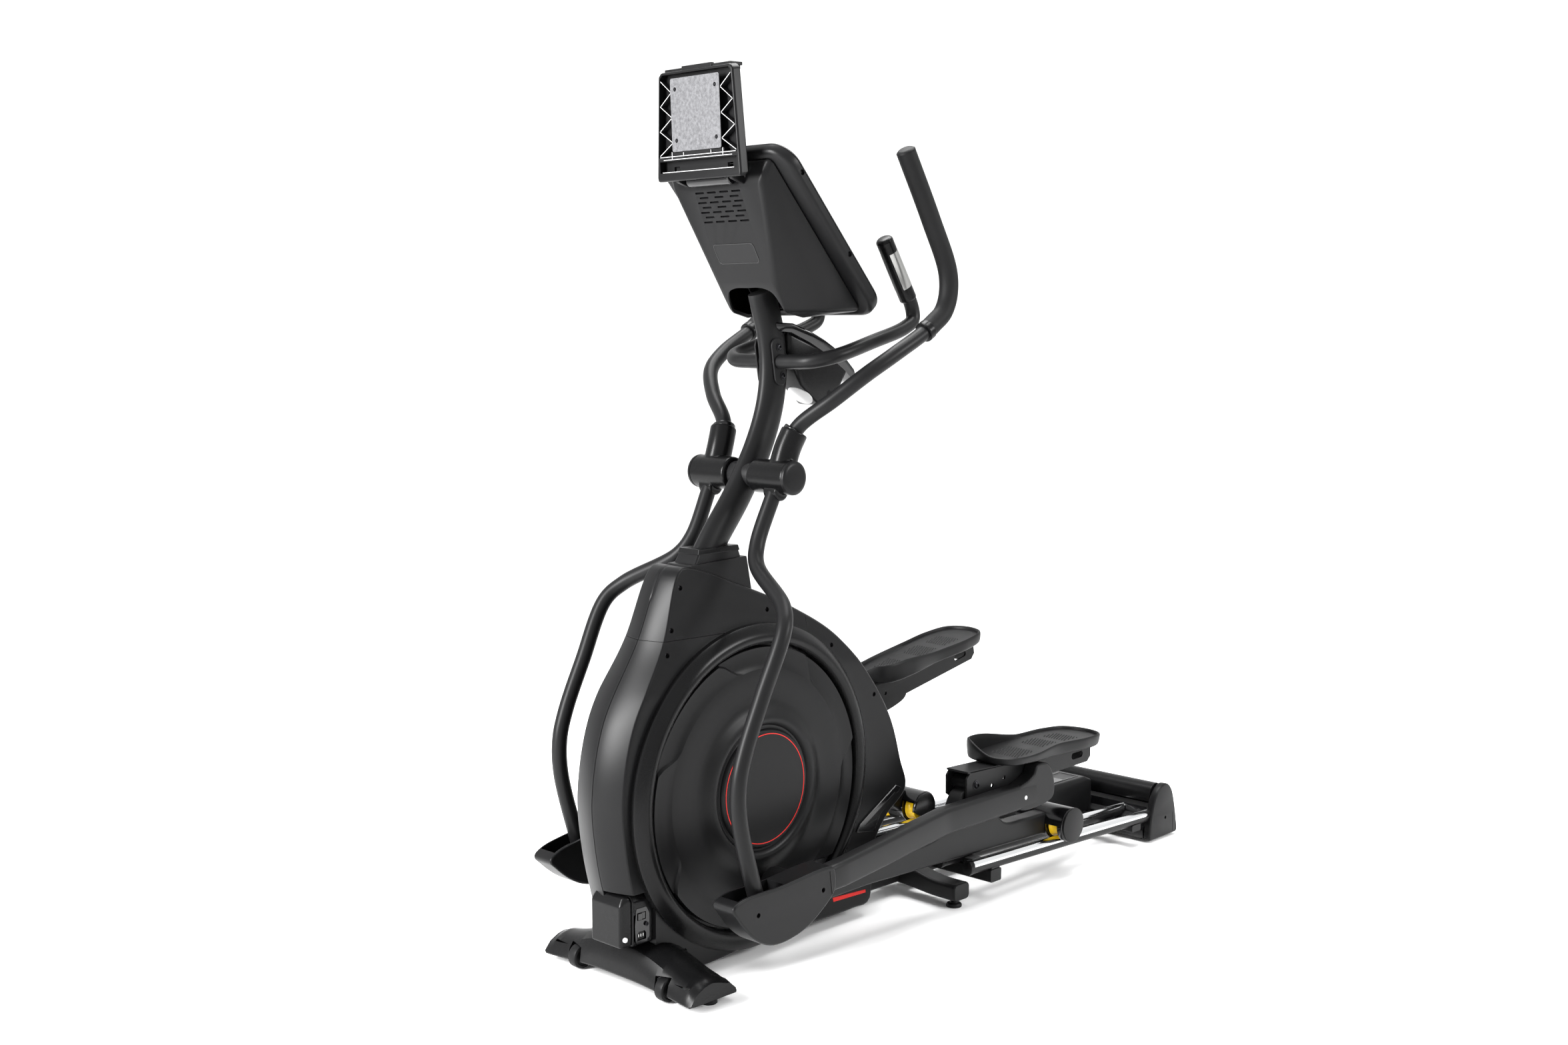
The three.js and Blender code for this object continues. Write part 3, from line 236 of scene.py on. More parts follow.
def curve(points, count, closed=False):
    """Evenly spaced points on a centripetal Catmull-Rom curve."""
    ctrl = [Vector(p) for p in points]
    if closed:
        line = [ctrl[-1], *ctrl, ctrl[0], ctrl[1]]
    else:
        line = [2 * ctrl[0] - ctrl[1], *ctrl, 2 * ctrl[-1] - ctrl[-2]]
    fine = []
    for start in range(len(line) - 3):
        p = line[start : start + 4]
        t = [0.0]
        for a, b in zip(p, p[1:]):
            t.append(t[-1] + max(1e-6, (b - a).length ** 0.5))
        for i in range(24):
            u = t[1] + (t[2] - t[1]) * i / 24
            a1, a2, a3 = (between(p[k], p[k + 1], t[k], t[k + 1], u) for k in range(3))
            b1, b2 = between(a1, a2, t[0], t[2], u), between(a2, a3, t[1], t[3], u)
            fine.append(between(b1, b2, t[1], t[2], u))
    fine.append(fine[0] if closed else ctrl[-1])
    lengths = [0.0]
    for a, b in zip(fine, fine[1:]):
        lengths.append(lengths[-1] + (b - a).length)
    total, made, at = lengths[-1], [], 0
    stops = count if closed else count - 1
    for i in range(count):
        want = total * i / stops
        while at < len(fine) - 2 and lengths[at + 1] < want:
            at += 1
        share = (want - lengths[at]) / max(1e-9, lengths[at + 1] - lengths[at])
        made.append(fine[at].lerp(fine[at + 1], share))
    return made


def circle(radius, sides, ry=None):
    ry = radius if ry is None else ry
    step = 2 * pi / sides
    return [(radius * cos(step * i), ry * sin(step * i)) for i in range(sides)]


def rounded(width, height, corner, steps=5):
    """A rounded rectangle about the origin, as (a, b) pairs."""
    made = []
    for k, (sa, sb) in enumerate(((1, 1), (-1, 1), (-1, -1), (1, -1))):
        ca, cb = sa * (width / 2 - corner), sb * (height / 2 - corner)
        for i in range(steps + 1):
            turn = radians(90 * k + 90 * i / steps)
            made.append((ca + corner * cos(turn), cb + corner * sin(turn)))
    return made


def sweep(points, section, steps, end_round=0.0, start_round=0.0, upright=None):
    """Carries a section along a smooth path; its ends may be rounded over a radius."""
    path = curve(points, steps)
    tangents = []
    for i, _ in enumerate(path):
        a, b = path[max(0, i - 1)], path[min(len(path) - 1, i + 1)]
        tangents.append((b - a).normalized())
    up = Vector(upright) if upright else tangents[0].orthogonal().normalized()
    rings = []

    def ring(centre, tangent, normal, scale):
        side = tangent.cross(normal)
        return [tuple(centre + normal * (a * scale) + side * (b * scale)) for a, b in section]

    size = max(max(abs(a), abs(b)) for a, b in section)
    frames = []
    for tangent in tangents:
        up = (up - tangent * up.dot(tangent)).normalized()
        frames.append(up.copy())

    def dome(centre, tangent, normal, radius, outward):
        made = []
        for i in range(1, 5):
            turn = radians(90 * i / 4)
            shrink = 1 - radius / size * (1 - cos(turn))
            shift = tangent * (outward * radius * (sin(turn) - 1))
            made.append(ring(centre + shift, tangent, normal, shrink))
        return made

    for i, (centre, tangent, normal) in enumerate(zip(path, tangents, frames)):
        if i == 0 and start_round:
            rings += reversed(dome(centre, tangent, normal, start_round, -1))
            rings.append(ring(centre + tangent * start_round, tangent, normal, 1))
        elif i == len(path) - 1 and end_round:
            rings.append(ring(centre - tangent * end_round, tangent, normal, 1))
            rings += dome(centre, tangent, normal, end_round, 1)
        else:
            rings.append(ring(centre, tangent, normal, 1))
    return skin(rings)


def lathe(x, z, profile, sides=96, ring=False):
    """Turns (radius, y) pairs about an axis along Y; a ring's profile is a closed loop."""
    rings = []
    for i in range(sides):
        turn = 2 * pi * i / sides
        c, s = cos(turn), sin(turn)
        rings.append([(x + r * c, y, z + r * s) for r, y in profile])
    return skin(rings, closed=ring, loop=True)


def spun(x, y, profile, sides=72):
    """Turns (radius, z) pairs about an upright axis."""
    rings = []
    for i in range(sides):
        turn = 2 * pi * i / sides
        rings.append([(x + r * cos(turn), y + r * sin(turn), z) for r, z in profile])
    return skin(rings, closed=False, loop=True)


def bar_y(x, z, radius, y0, y1, edge=1.5, sides=48):
    """A solid round bar along Y with eased edges."""
    low, high = min(y0, y1), max(y0, y1)
    profile = [(0, low), (radius - edge, low)]
    for i in range(1, 4):
        turn = radians(90 * i / 3)
        profile.append((radius - edge + edge * sin(turn), low + edge * (1 - cos(turn))))
    for i in range(0, 4):
        turn = radians(90 * i / 3)
        profile.append((radius - edge + edge * cos(turn), high - edge + edge * sin(turn)))
    profile.append((0, high))
    return lathe(x, z, profile, sides)


def prism(points, y0, y1):
    """An outline in the side plane given thickness along Y."""
    return skin([[(x, y0, z) for x, z in points], [(x, y1, z) for x, z in points]])


def slab(points, z0, z1):
    return skin([[(x, y, z0) for x, y in points], [(x, y, z1) for x, y in points]])


def block(x0, x1, y0, y1, z0, z1):
    return prism([(x0, z0), (x1, z0), (x1, z1), (x0, z1)], y0, y1)


def lug(x0, z0, r0, x1, z1, r1, steps=14):
    """The outline of two circles and the lines that touch both."""
    along = atan2(z1 - z0, x1 - x0)
    lean = acos((r0 - r1) / hypot(x1 - x0, z1 - z0))
    made = []
    for start, span, centre, radius in (
        (along - lean, 2 * lean, (x1, z1), r1),
        (along + lean, 2 * pi - 2 * lean, (x0, z0), r0),
    ):
        made += [turned_point(centre, start + span * i / steps, radius, 0) for i in range(steps + 1)]
    return made


def hull(points):
    mesh = bmesh.new()
    made = [mesh.verts.new(p) for p in points]
    bmesh.ops.convex_hull(mesh, input=made)
    loose = [v for v in mesh.verts if not v.link_faces]
    bmesh.ops.delete(mesh, geom=loose, context="VERTS")
    bmesh.ops.dissolve_limit(mesh, angle_limit=0.02, verts=mesh.verts, edges=mesh.edges)
    mesh.verts.index_update()
    shape = [tuple(v.co) for v in mesh.verts], [tuple(v.index for v in f.verts) for f in mesh.faces]
    mesh.free()
    return shape


def framed(shape, place):
    """Turns a shape from a moving part's own axes into machine coordinates."""
    points, faces = shape
    x0, z0, angle = place
    c, s = cos(angle), sin(angle)
    return [(x0 + x * c - z * s, y, z0 + x * s + z * c) for x, y, z in points], faces


def raw_object(name, shape):
    """A Blender object in the row frame, from a shape in machine millimetres."""
    points, faces = shape
    mesh = bpy.data.meshes.new(name)
    mesh.from_pydata([((x + SHIFT) * MM, y * MM, z * MM) for x, y, z in points], [], faces)
    work = bmesh.new()
    work.from_mesh(mesh)
    bmesh.ops.remove_doubles(work, verts=work.verts, dist=1e-6)
    bmesh.ops.recalc_face_normals(work, faces=work.faces)
    work.to_mesh(mesh)
    work.free()
    made = bpy.data.objects.new(name, mesh)
    bpy.context.scene.collection.objects.link(made)
    return made


def bake(made):
    """Puts an object's modifiers into its mesh."""
    graph = bpy.context.evaluated_depsgraph_get()
    mesh = bpy.data.meshes.new_from_object(made.evaluated_get(graph))
    made.modifiers.clear()
    made.data = mesh


def modify(made, kind, **settings):
    change = made.modifiers.new(kind.lower(), kind)
    for setting, value in settings.items():
        setattr(change, setting, value)


EDGE_LIMIT = {"limit_method": "ANGLE", "angle_limit": radians(28)}


def piece(
    name, body, look, shape, place=None, first_bevel=0.0, bevel=0.0, segments=3, melt=0.0, cutters=(),
    replaces=(), crisp=38,
):
    """One shown piece. Melt remeshes joined solids into one moulded body with soft corners."""
    made = raw_object(name, framed(shape, place) if place else shape)
    if first_bevel:
        modify(made, "BEVEL", width=first_bevel * MM, segments=4, **EDGE_LIMIT)
        bake(made)
    for i, tool in enumerate(cutters):
        knife = raw_object(f"{name}_cutter{i}", framed(tool, place) if place else tool)
        modify(made, "BOOLEAN", operation="DIFFERENCE", solver="EXACT", object=knife)
        bake(made)
        bpy.data.objects.remove(knife)
    if melt:
        modify(made, "REMESH", mode="VOXEL", voxel_size=melt * MM)
        modify(made, "SMOOTH", factor=0.6, iterations=5)
    if bevel:
        modify(made, "BEVEL", width=bevel * MM, segments=segments, harden_normals=False, **EDGE_LIMIT)
    bake(made)
    made.data.materials.clear()
    made.data.materials.append(FINISH[look])
    made.data.polygons.foreach_set("use_smooth", [True] * len(made.data.polygons))
    made.data.set_sharp_from_angle(angle=radians(crisp))
    if bevel:
        modify(made, "WEIGHTED_NORMAL", keep_sharp=True)
        bake(made)
    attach(made, body)
    if replaces:
        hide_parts(*replaces)
    return made


def pieces_on(body, place=None, prefix=""):
    """Makes the pieces of one body; the prefix also begins the CAD nodes that they replace."""

    def put(label, look, shape, *claims, **options):
        claimed = [prefix + claim for claim in claims]
        return piece(prefix + label, body, look, shape, place, replaces=claimed, **options)

    return put


fixed = pieces_on("frame")


def sided(name, body="frame", place=None):
    return pieces_on(body, place, f"{name}_")


def hidden_cad(look, *names):
    """A CAD node that stays, inside the covers, with a real finish."""
    for name in names:
        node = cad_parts[name]
        node.data.materials.clear()
        node.data.materials.append(FINISH[look])


POSE = {side: linkage(CRANK_REST if side < 0 else CRANK_REST + pi) for _, side in SIDES}


# ---- small shapes used in several places ----
def bolt(x, z, y, side, radius=6.0, height=4.0):
    """A button head with a socket, on a washer; y is where it seats, pointing outward."""
    washer = [(0, 0), (radius * 1.45, 0), (radius * 1.45, 1), (0, 1)]
    head = [(0, height * 0.35), (radius * 0.42, height * 0.35), (radius * 0.5, height)]
    head += [(radius * 0.8, height * 0.86), (radius, height * 0.4), (radius, 0.9), (0, 0.9)]
    return merge(*[lathe(x, z, [(r, side * (y + up)) for r, up in line], 28) for line in (washer, head)])


def panel(points, x0, x1):
    """An outline in (y, z) given thickness along X."""
    return skin([[(x0, y, z) for y, z in points], [(x1, y, z) for y, z in points]])


def shifted(pairs, da, db):
    return [(a + da, b + db) for a, b in pairs]


def both_ways(half):
    """A wheel's half profile and its mirror image."""
    return [*half, *[(r, -a) for r, a in reversed(half)]]


def smooth_step(a, b, value):
    t = min(1.0, max(0.0, (value - a) / (b - a)))
    return t * t * (3 - 2 * t)


def smooth_outline(points, count):
    return [(p.x, p.z) for p in curve([(x, 0, z) for x, z in points], count, closed=True)]


def round_bar(a, b, radius, edge=1.0, sides=32):
    """A straight round bar between two points, with eased ends."""
    middle = [(i + j) / 2 for i, j in zip(a, b)]
    return sweep([a, middle, b], circle(radius, sides), 3, edge, edge)


# ---- mast ----
MAST_PATH = [(208, 790), (272, 885), (348, 982), (408, 1078), (442, 1165), (452, 1245)]
MAST_PATH += [(443, 1320), (424, 1378), (416, 1404)]
mast = merge(
    sweep([(x, 0, z) for x, z in MAST_PATH], circle(35, 44, 23), 90, upright=(1, 0, -0.6)),
    bar_y(*SWING_PIVOT, 27, -32, 32, 3), bar_y(*SWING_PIVOT, 12, -138, 138, 1),
)
fixed("mast_tube", "coat", mast, "mast")
for name, side in SIDES:
    put = sided(name)
    bracket = prism(lug(449, 1224, 17, 438, 1290, 17), side * 22.5, side * 27)
    put("mast_bracket", "coat", bracket, bevel=1.2)
    bolts = merge(bolt(455, 1227, 27, side), bolt(442, 1288, 27, side))
    put("mast_bolts", "bolt", bolts)


def block_of(stations):
    """A convex block from (x, half width, z) corners, mirrored over the centre plane."""
    return hull([(x, s * y, z) for x, y, z in stations for s in (-1, 1)])


collar_low = block_of([(160, 38, 805), (346, 47, 772), (176, 35, 846), (334, 42, 854)])
collar_high = block_of([(186, 33, 836), (328, 37, 836), (206, 29.5, 868), (318, 31, 872)])
collar_lip = block_of([(203, 31.5, 864), (321, 33, 866), (206, 30, 876), (318, 31.5, 878)])
fixed("collar_low", "satin", collar_low, "mast_collar", bevel=4)
fixed("collar_high", "satin", collar_high, bevel=4)
fixed("collar_lip", "smooth", collar_lip, bevel=2)

# ---- drive housing ----
HOUSING = [(78, 30), (2, 112), (-30, 205), (-50, 300), (-57, 400), (-27, 545), (66, 704)]
HOUSING += [(128, 838), (148, 846), (346, 782), (470, 728), (580, 664), (690, 556), (765, 445)]
HOUSING += [(800, 345), (820, 276), (750, 218), (704, 150), (694, 34), (640, 28), (360, 28)]
HOUSING_MIDDLE = (340, 400)
NOSE_INSET = 20
NOSE_HALF = 70
SHOULDER_Z = 600
PEAK_Z = 820
PEAK_SHARE = 0.64
SCREWS = [(136, 806), (104, 724), (88, 676), (14, 500), (4, 268), (373, 738), (562, 640)]
SCREWS += [(700, 511), (30, 140), (124, 62)]


def half_width(x, z):
    """The cover is a wedge: narrow at its nose, and narrower again toward the mast."""
    low = NOSE_HALF + (HOUSING_HALF - NOSE_HALF) * smooth_step(20, 260, x)
    share = 1 - (1 - PEAK_SHARE) * max(0.0, z - SHOULDER_Z) / (PEAK_Z - SHOULDER_Z)
    return low * max(share, 0.6)


def housing_ring(share):
    """The housing's outline at a share of its half width, as (x, y, z)."""
    ring = []
    for x, z in smooth_outline(HOUSING, 230):
        wide = half_width(x, z)
        y = share * wide
        front = 1 - smooth_step(60, 300, x)
        lean = (NOSE_INSET - 9 * smooth_step(650, 830, z)) * front * share**1.5
        radius = 10 - 7.5 * front
        over = max(0.0, y - (wide - radius))
        pull = radius - sqrt(max(0.0, radius * radius - over * over))
        pull += 1.3 if y < 1 else 0
        x += lean
        dx, dz = x - HOUSING_MIDDLE[0], z - HOUSING_MIDDLE[1]
        keep = 1 - pull / hypot(dx, dz)
        ring.append((HOUSING_MIDDLE[0] + dx * keep, y, HOUSING_MIDDLE[1] + dz * keep))
    return ring


def housing_half(side):
    levels = [0.005, 0.02, 0.1, 0.2, 0.3, 0.4, 0.5, 0.6, 0.7, 0.78, 0.84, 0.88, 0.91, 0.935, 0.955]
    levels += [0.97, 0.98, 0.988, 0.994, 0.998, 1.0]
    rings = [[(x, side * y, z) for x, y, z in housing_ring(share)] for share in levels]
    for reach, deep in ((0.25, 0), (0.55, 0), (1.0, 0), (1.0, 15)):
        ring = []
        for x, _, z in rings[len(levels) - 1]:
            dx, dz = x - CRANK[0], z - CRANK[1]
            far = hypot(dx, dz)
            inner = min(337, far - 3)
            keep = (far + (inner - far) * reach) / far
            px, pz = CRANK[0] + dx * keep, CRANK[1] + dz * keep
            ring.append((px, side * (half_width(px, pz) - deep), pz))
        rings.append(ring)
    return skin(rings)


def shroud_arc(radius, start, stop, steps=40):
    """Points on an arc about the crank, between two directions in degrees."""
    turns = [radians(start + (stop - start) * i / steps) for i in range(steps + 1)]
    return [turned_point(CRANK, turn, radius, 0) for turn in turns]


SEAM_Z = 703
SEAM_END = 62
SHROUD_TOP = 344
seam_turn = degrees(asin((SEAM_Z - CRANK[1]) / SHROUD_TOP))
over_shroud = shroud_arc(SHROUD_TOP, 180 - seam_turn, SEAM_END)
under_shroud = shroud_arc(SHROUD_TOP + 0.9, 180 - seam_turn, SEAM_END)
UPPER_CUT = prism([(-120, SEAM_Z), *over_shroud, (489, 700), (489, 900), (-120, 900)], -99, 99)
LOWER_CUT = [(-160, SEAM_Z + 0.9), *under_shroud, (488, 700), (488, 960), (900, 960), (900, -60)]
LOWER_CUT = prism([*LOWER_CUT, (-160, -60)], -99, 99)
INLET_ROOM = block(-80, 48, -100, 40, 60, 208)
SHROUD = [(346, 79), (343, 82.5), (338, 86.5), (332, 91.5), (325, 95.5), (318, 97), (312, 95.6)]
SHROUD += [(307, 92), (304.4, 87), (303.4, 82), (303, 66), (40, 66), (40, 62), (346, 62)]
FIN = [(640, 205), (652, 222), (776, 290), (795, 280), (722, 232), (700, 196)]
FIN_FACE = [(662, 214), (770, 274), (778, 270), (706, 224)]
FIN_RIDGE = [(600, 242), (603, 240), (560, 157), (556, 160)]
STRIPE = [(566, 71), (676, 65), (677, 58), (569, 61)]
for name, side in SIDES:
    put = sided(name)
    wells = []
    for x, z in SCREWS:
        surface = half_width(x, z)
        wells.append(bar_y(x, z, 5.2, side * (surface - 7), side * (surface + 9), 0.4, 24))
    screw_holes = merge(*wells)
    fixed(
        f"{name}_housing", "satin", housing_half(side), f"{name}_side_cover",
        cutters=[UPPER_CUT, screw_holes, *([INLET_ROOM] if side < 0 else [])], crisp=32,
    )
    fixed(
        f"{name}_top_housing", "satin", housing_half(side), *(["top_cover"] if side < 0 else []),
        cutters=[LOWER_CUT, screw_holes], crisp=32,
    )
    heads = merge(*[bolt(x, z, half_width(x, z) - 6.5, side, 3.2, 2.5) for x, z in SCREWS])
    put("housing_screws", "bolt", heads)
    shroud = lathe(*CRANK, [(r, side * y) for r, y in SHROUD], 180, ring=True)
    put("shroud", "smooth", shroud, crisp=40)
    for label, look, line, low, high, ease in (
        ("rear_fin", "gloss", FIN, 78, 85, 2),
        ("fin_face", "satin", FIN_FACE, 80, 85.6, 0.6),
        ("fin_ridge", "gloss", FIN_RIDGE, 79, 82, 0.6),
        ("accent_stripe", "red", STRIPE, 79.5, 80.6, 0.3),
    ):
        put(label, look, prism(line, side * low, side * high), bevel=ease)

# ---- crank discs ----
BLADES = 7


def disc(side):
    """The turning disc: a dished face, a raised ring, a cap and slanted blades at the rim."""
    face = [(0, 104), (60, 104), (112, 104), (120, 103.8), (123, 103), (125, 100), (126.5, 96)]
    face += [(129, 94.6), (133, 94.8), (136, 98.4), (140, 101.4), (145, 102.6), (151, 102)]
    face += [(160, 99), (170, 94.2), (179, 91), (188, 89.8), (205, 89.6), (230, 89.4), (251, 89)]
    rings = []
    for i in range(BLADES * 40):
        turn = 2 * pi * i / (BLADES * 40)
        s = min(1.0, (i % 40) / 38)
        line = [(r, y, 0.0) for r, y in face]
        for k, (r, lift) in enumerate(((253.5, 0.0), (258, 0.4), (270, 0.75), (286, 0.95), (297, 1.0))):
            line.append((r, 88.6 - (0.4 + 6.8 * s) * lift, 0.05 * k))
        line += [(298, 80.8, 0.2), (298, 80.5, 0.2), (0, 80.5, 0)]
        ring = []
        for r, y, slant in line:
            c, d = cos(turn + slant), sin(turn + slant)
            ring.append((CRANK[0] + r * c, side * y, CRANK[1] + r * d))
        rings.append(ring)
    return skin(rings, closed=False, loop=True)


for name, side in SIDES:
    put = sided(name, "crank")
    put("crank_disc", "satin", disc(side), "disc", crisp=24)
    ring = [(115.4, 103.5), (115.4, 104.5), (117.2, 104.5), (117.2, 103.5)]
    ring = lathe(*CRANK, [(r, side * y) for r, y in ring], 160, ring=True)
    put("accent_ring", "red", ring, bevel=0.2)

# ---- moving handlebars ----
LOWER_ARM_PATH = [(0, 96, -14), (-6, 96, -44), (-26, 97, -146), (-38, 118, -190), (-66, 238, -268)]
LOWER_ARM_PATH += [(-84, 268, -312), (-112, 270, -450), (-131, 270, -560), (-132, 270, -620)]
LOWER_ARM_PATH += [(-112, 270, -690), (-2, 270, -874)]
UPPER_HANDLE_PATH = [(2, 98, 18), (8, 100, 70), (16, 112, 112), (34, 180, 176), (62, 232, 238)]
UPPER_HANDLE_PATH += [(110, 254, 292), (196, 262, 372), (228, 264, 414), (234, 265, 452)]
UPPER_HANDLE_PATH += [(218, 266, 500), (132, 266, 590), (22, 266, 690)]
GRIP_PATH = [(186, 261.4, 362), (206, 262.6, 385), (228, 264, 414), (234, 265, 452)]
GRIP_PATH += [(218, 266, 500), (132, 266, 590), (14, 266, 700)]
BAND_PATH = [(181, 261.2, 357.5), (187, 261.5, 363), (193, 261.8, 369)]
SLEEVE_PATH = [(3, 98, 4), (7, 99.5, 60), (13, 106, 100)]
SLEEVE_RIM = [(12, 104.5, 94), (13, 106, 99), (14, 108, 104)]
LID = [(0, 146), (26, 145.6), (32, 144.4), (35, 142), (35.8, 138), (35.8, 136), (0, 136)]


def out(points, side):
    """Points drawn on the +Y side, taken to either side."""
    return [(x, side * y, z) for x, y, z in points]


for name, side in SIDES:
    put = sided(name, f"{name}_swing_arm", POSE[side]["swing"])
    tube = circle(TUBE_RADIUS, 32)
    lower = merge(
        sweep(out(LOWER_ARM_PATH, side), tube, 170),
        bar_y(0, -SWING_LENGTH, 20, side * 252, side * 288, 2),
    )
    put("lower_tube", "coat", lower, "lower_arm")
    upper = sweep(out(UPPER_HANDLE_PATH, side), tube, 150)
    put("upper_tube", "coat", upper, "upper_handle")
    foam = sweep(out(GRIP_PATH, side), circle(GRIP_RADIUS, 36), 90, 9, 3)
    foam = put("foam_grip", "foam", foam, "grip")
    band = sweep(out(BAND_PATH, side), circle(22, 36), 5, 1.5, 1.5)
    put("grip_band", "smooth", band)
    barrel = merge(
        bar_y(0, 0, 35.5, side * 33, side * 140, 6, 64),
        sweep(out(SLEEVE_PATH, side), circle(28.5, 48), 24, 3),
        bar_y(-1, -30, 20, side * 78, side * 116, 4, 48),
    )
    put("pivot_cover", "smooth", barrel, "pivot_housing", melt=1.7, crisp=60)
    lid = lathe(0, 0, [(r, side * y) for r, y in LID], 72)
    put("pivot_lid", "satin", lid)
    rim = sweep(out(SLEEVE_RIM, side), circle(25.5, 48), 5, 2.5, 1)
    put("sleeve_rim", "gloss", rim)

# ---- foot links ----
SHOE_FACES = (240, 300)
SHOE_SIDE = [(-94, 70), (-69, 79), (37, 67), (169, 57), (193, 50), (197, 34), (190, 0), (150, -26)]
SHOE_SIDE += [(97, -46), (40, -50), (0, -43), (-32, -24), (-58, 4), (-84, 46)]
ARM_DROP = 0.083
ARM_FAR = 218.6
ARM_STATIONS = [(46, 270, 14, 48), (186, 270, 24, 48), (200, 270, 33.6, 54), (240, 270, 33, 56)]
ARM_STATIONS += [(640, 221, 24.6, 60), (1000, 218.6, 3, 60)]
PLUG_X = 925
ARM_END = [(900, -44), (945, -34), (966, -26), (979, -10), (1000, -10), (1024, -20), (1039, -46)]
ARM_END += [(1043, -80), (1036, -104), (1016, -112), (900, -92)]


def station_at(x):
    """Centre and height of the connecting arm at a distance from the shoe pin."""
    rows = ARM_STATIONS
    for a, b in zip(rows, rows[1:]):
        if x <= b[0] or b is rows[-1]:
            t = min(1.0, max(0.0, (x - a[0]) / (b[0] - a[0])))
            return [p + (q - p) * t for p, q in zip(a[1:], b[1:])]


def connecting_arm(side):
    rings = []
    near, far = ARM_STATIONS[0][0], ARM_STATIONS[-1][0]
    for x in [near + (far - near) * i / 60 for i in range(61)]:
        y, z, height = station_at(x)
        ring = rounded(36, height, min(9, height / 2.3), 4)
        rings.append([(x, side * (y + a), z - ARM_DROP * x + b) for a, b in ring])
    return skin(rings)


def pedal_frame(points):
    return [turned_point((FOOT_LINK, 0), PEDAL_PITCH, x, z) for x, z in points]


SOLE = [(70, -30), (92, -66), (170, -76), (280, -66), (400, -70), (470, -52), (488, 0)]
SOLE += [(470, 52), (400, 70), (280, 66), (170, 76), (92, 66), (70, 30)]


def sole_point(x, y, z, side):
    """A point of the pedal's own axes in the foot link's axes."""
    a = turned_point(SOLE_REST, SOLE_PITCH, x - SOLE_REST[0], z - 39)
    b = turned_point((FOOT_LINK, 0), PEDAL_PITCH, *a)
    return (b[0], side * ARM_CENTRE + y, b[1])


def bed_height(x, keep):
    """Height of the pedal's bed: a deep toe bowl that climbs to the rim at the heel."""
    middle = 45.5 + 15 * smooth_step(90, 330, x)
    return middle + 2 * smooth_step(0.5, 0.95, keep)


def rim_rise(x, inward):
    """Around the toe the rim stands up on the side toward the housing, and dips on the other."""
    return smooth_step(300, 130, x) * (-11 + 29 * smooth_step(-30, 60, inward))


def pedal_tray(side):
    edge = smooth_outline(SOLE, 180)
    levels = [(0.88, 39.4, 0), (0.94, 40, 0), (0.98, 42.6, 0), (1.0, 46.5, 0), (1.018, 53, 0.2)]
    levels += [(1.03, 60, 0.5), (1.032, 65, 0.8), (1.02, 68.2, 1), (0.998, 69.4, 1), (0.972, 68.6, 1)]
    levels += [(0.954, 66, 0.8), (0.944, 62, 0.5)]
    beds = [0.93 - 0.115 * i for i in range(8)]

    def ring(keep, height):
        made = []
        for x, y in edge:
            spine = min(400, max(150, x))
            px, py = spine + (x - spine) * keep, y * keep
            made.append(sole_point(px, py, height(px, py), side))
        return made

    rings = [ring(keep, lambda x, y: z + share * rim_rise(x, -side * y)) for keep, z, share in levels]
    return skin(rings + [ring(keep, lambda x, _: bed_height(x, keep)) for keep in beds])


TREAD_STEP = 9


def tread(side):
    """Rows of small pyramids on the pedal's bed, in three patches."""
    made = []
    for x0, x1, across in ((150, 230, 11), (262, 330, 9), (352, 418, 9)):
        for i in range(int((x1 - x0) / TREAD_STEP)):
            for j in range(-(across // 2), across // 2 + 1):
                x = x0 + TREAD_STEP * i
                y = 7.4 * j + (3.7 if i % 2 else 0)
                base = bed_height(x, 0.3) - 0.6
                corners = [(x - 4, y), (x, y - 3.2), (x + 4, y), (x, y + 3.2)]
                points = [sole_point(a, b, base, side) for a, b in corners]
                points.append(sole_point(x, y, base + 2.6, side))
                made.append((points, [(0, 1, 4), (1, 2, 4), (2, 3, 4), (3, 0, 4), (3, 2, 1, 0)]))
    return merge(*made)


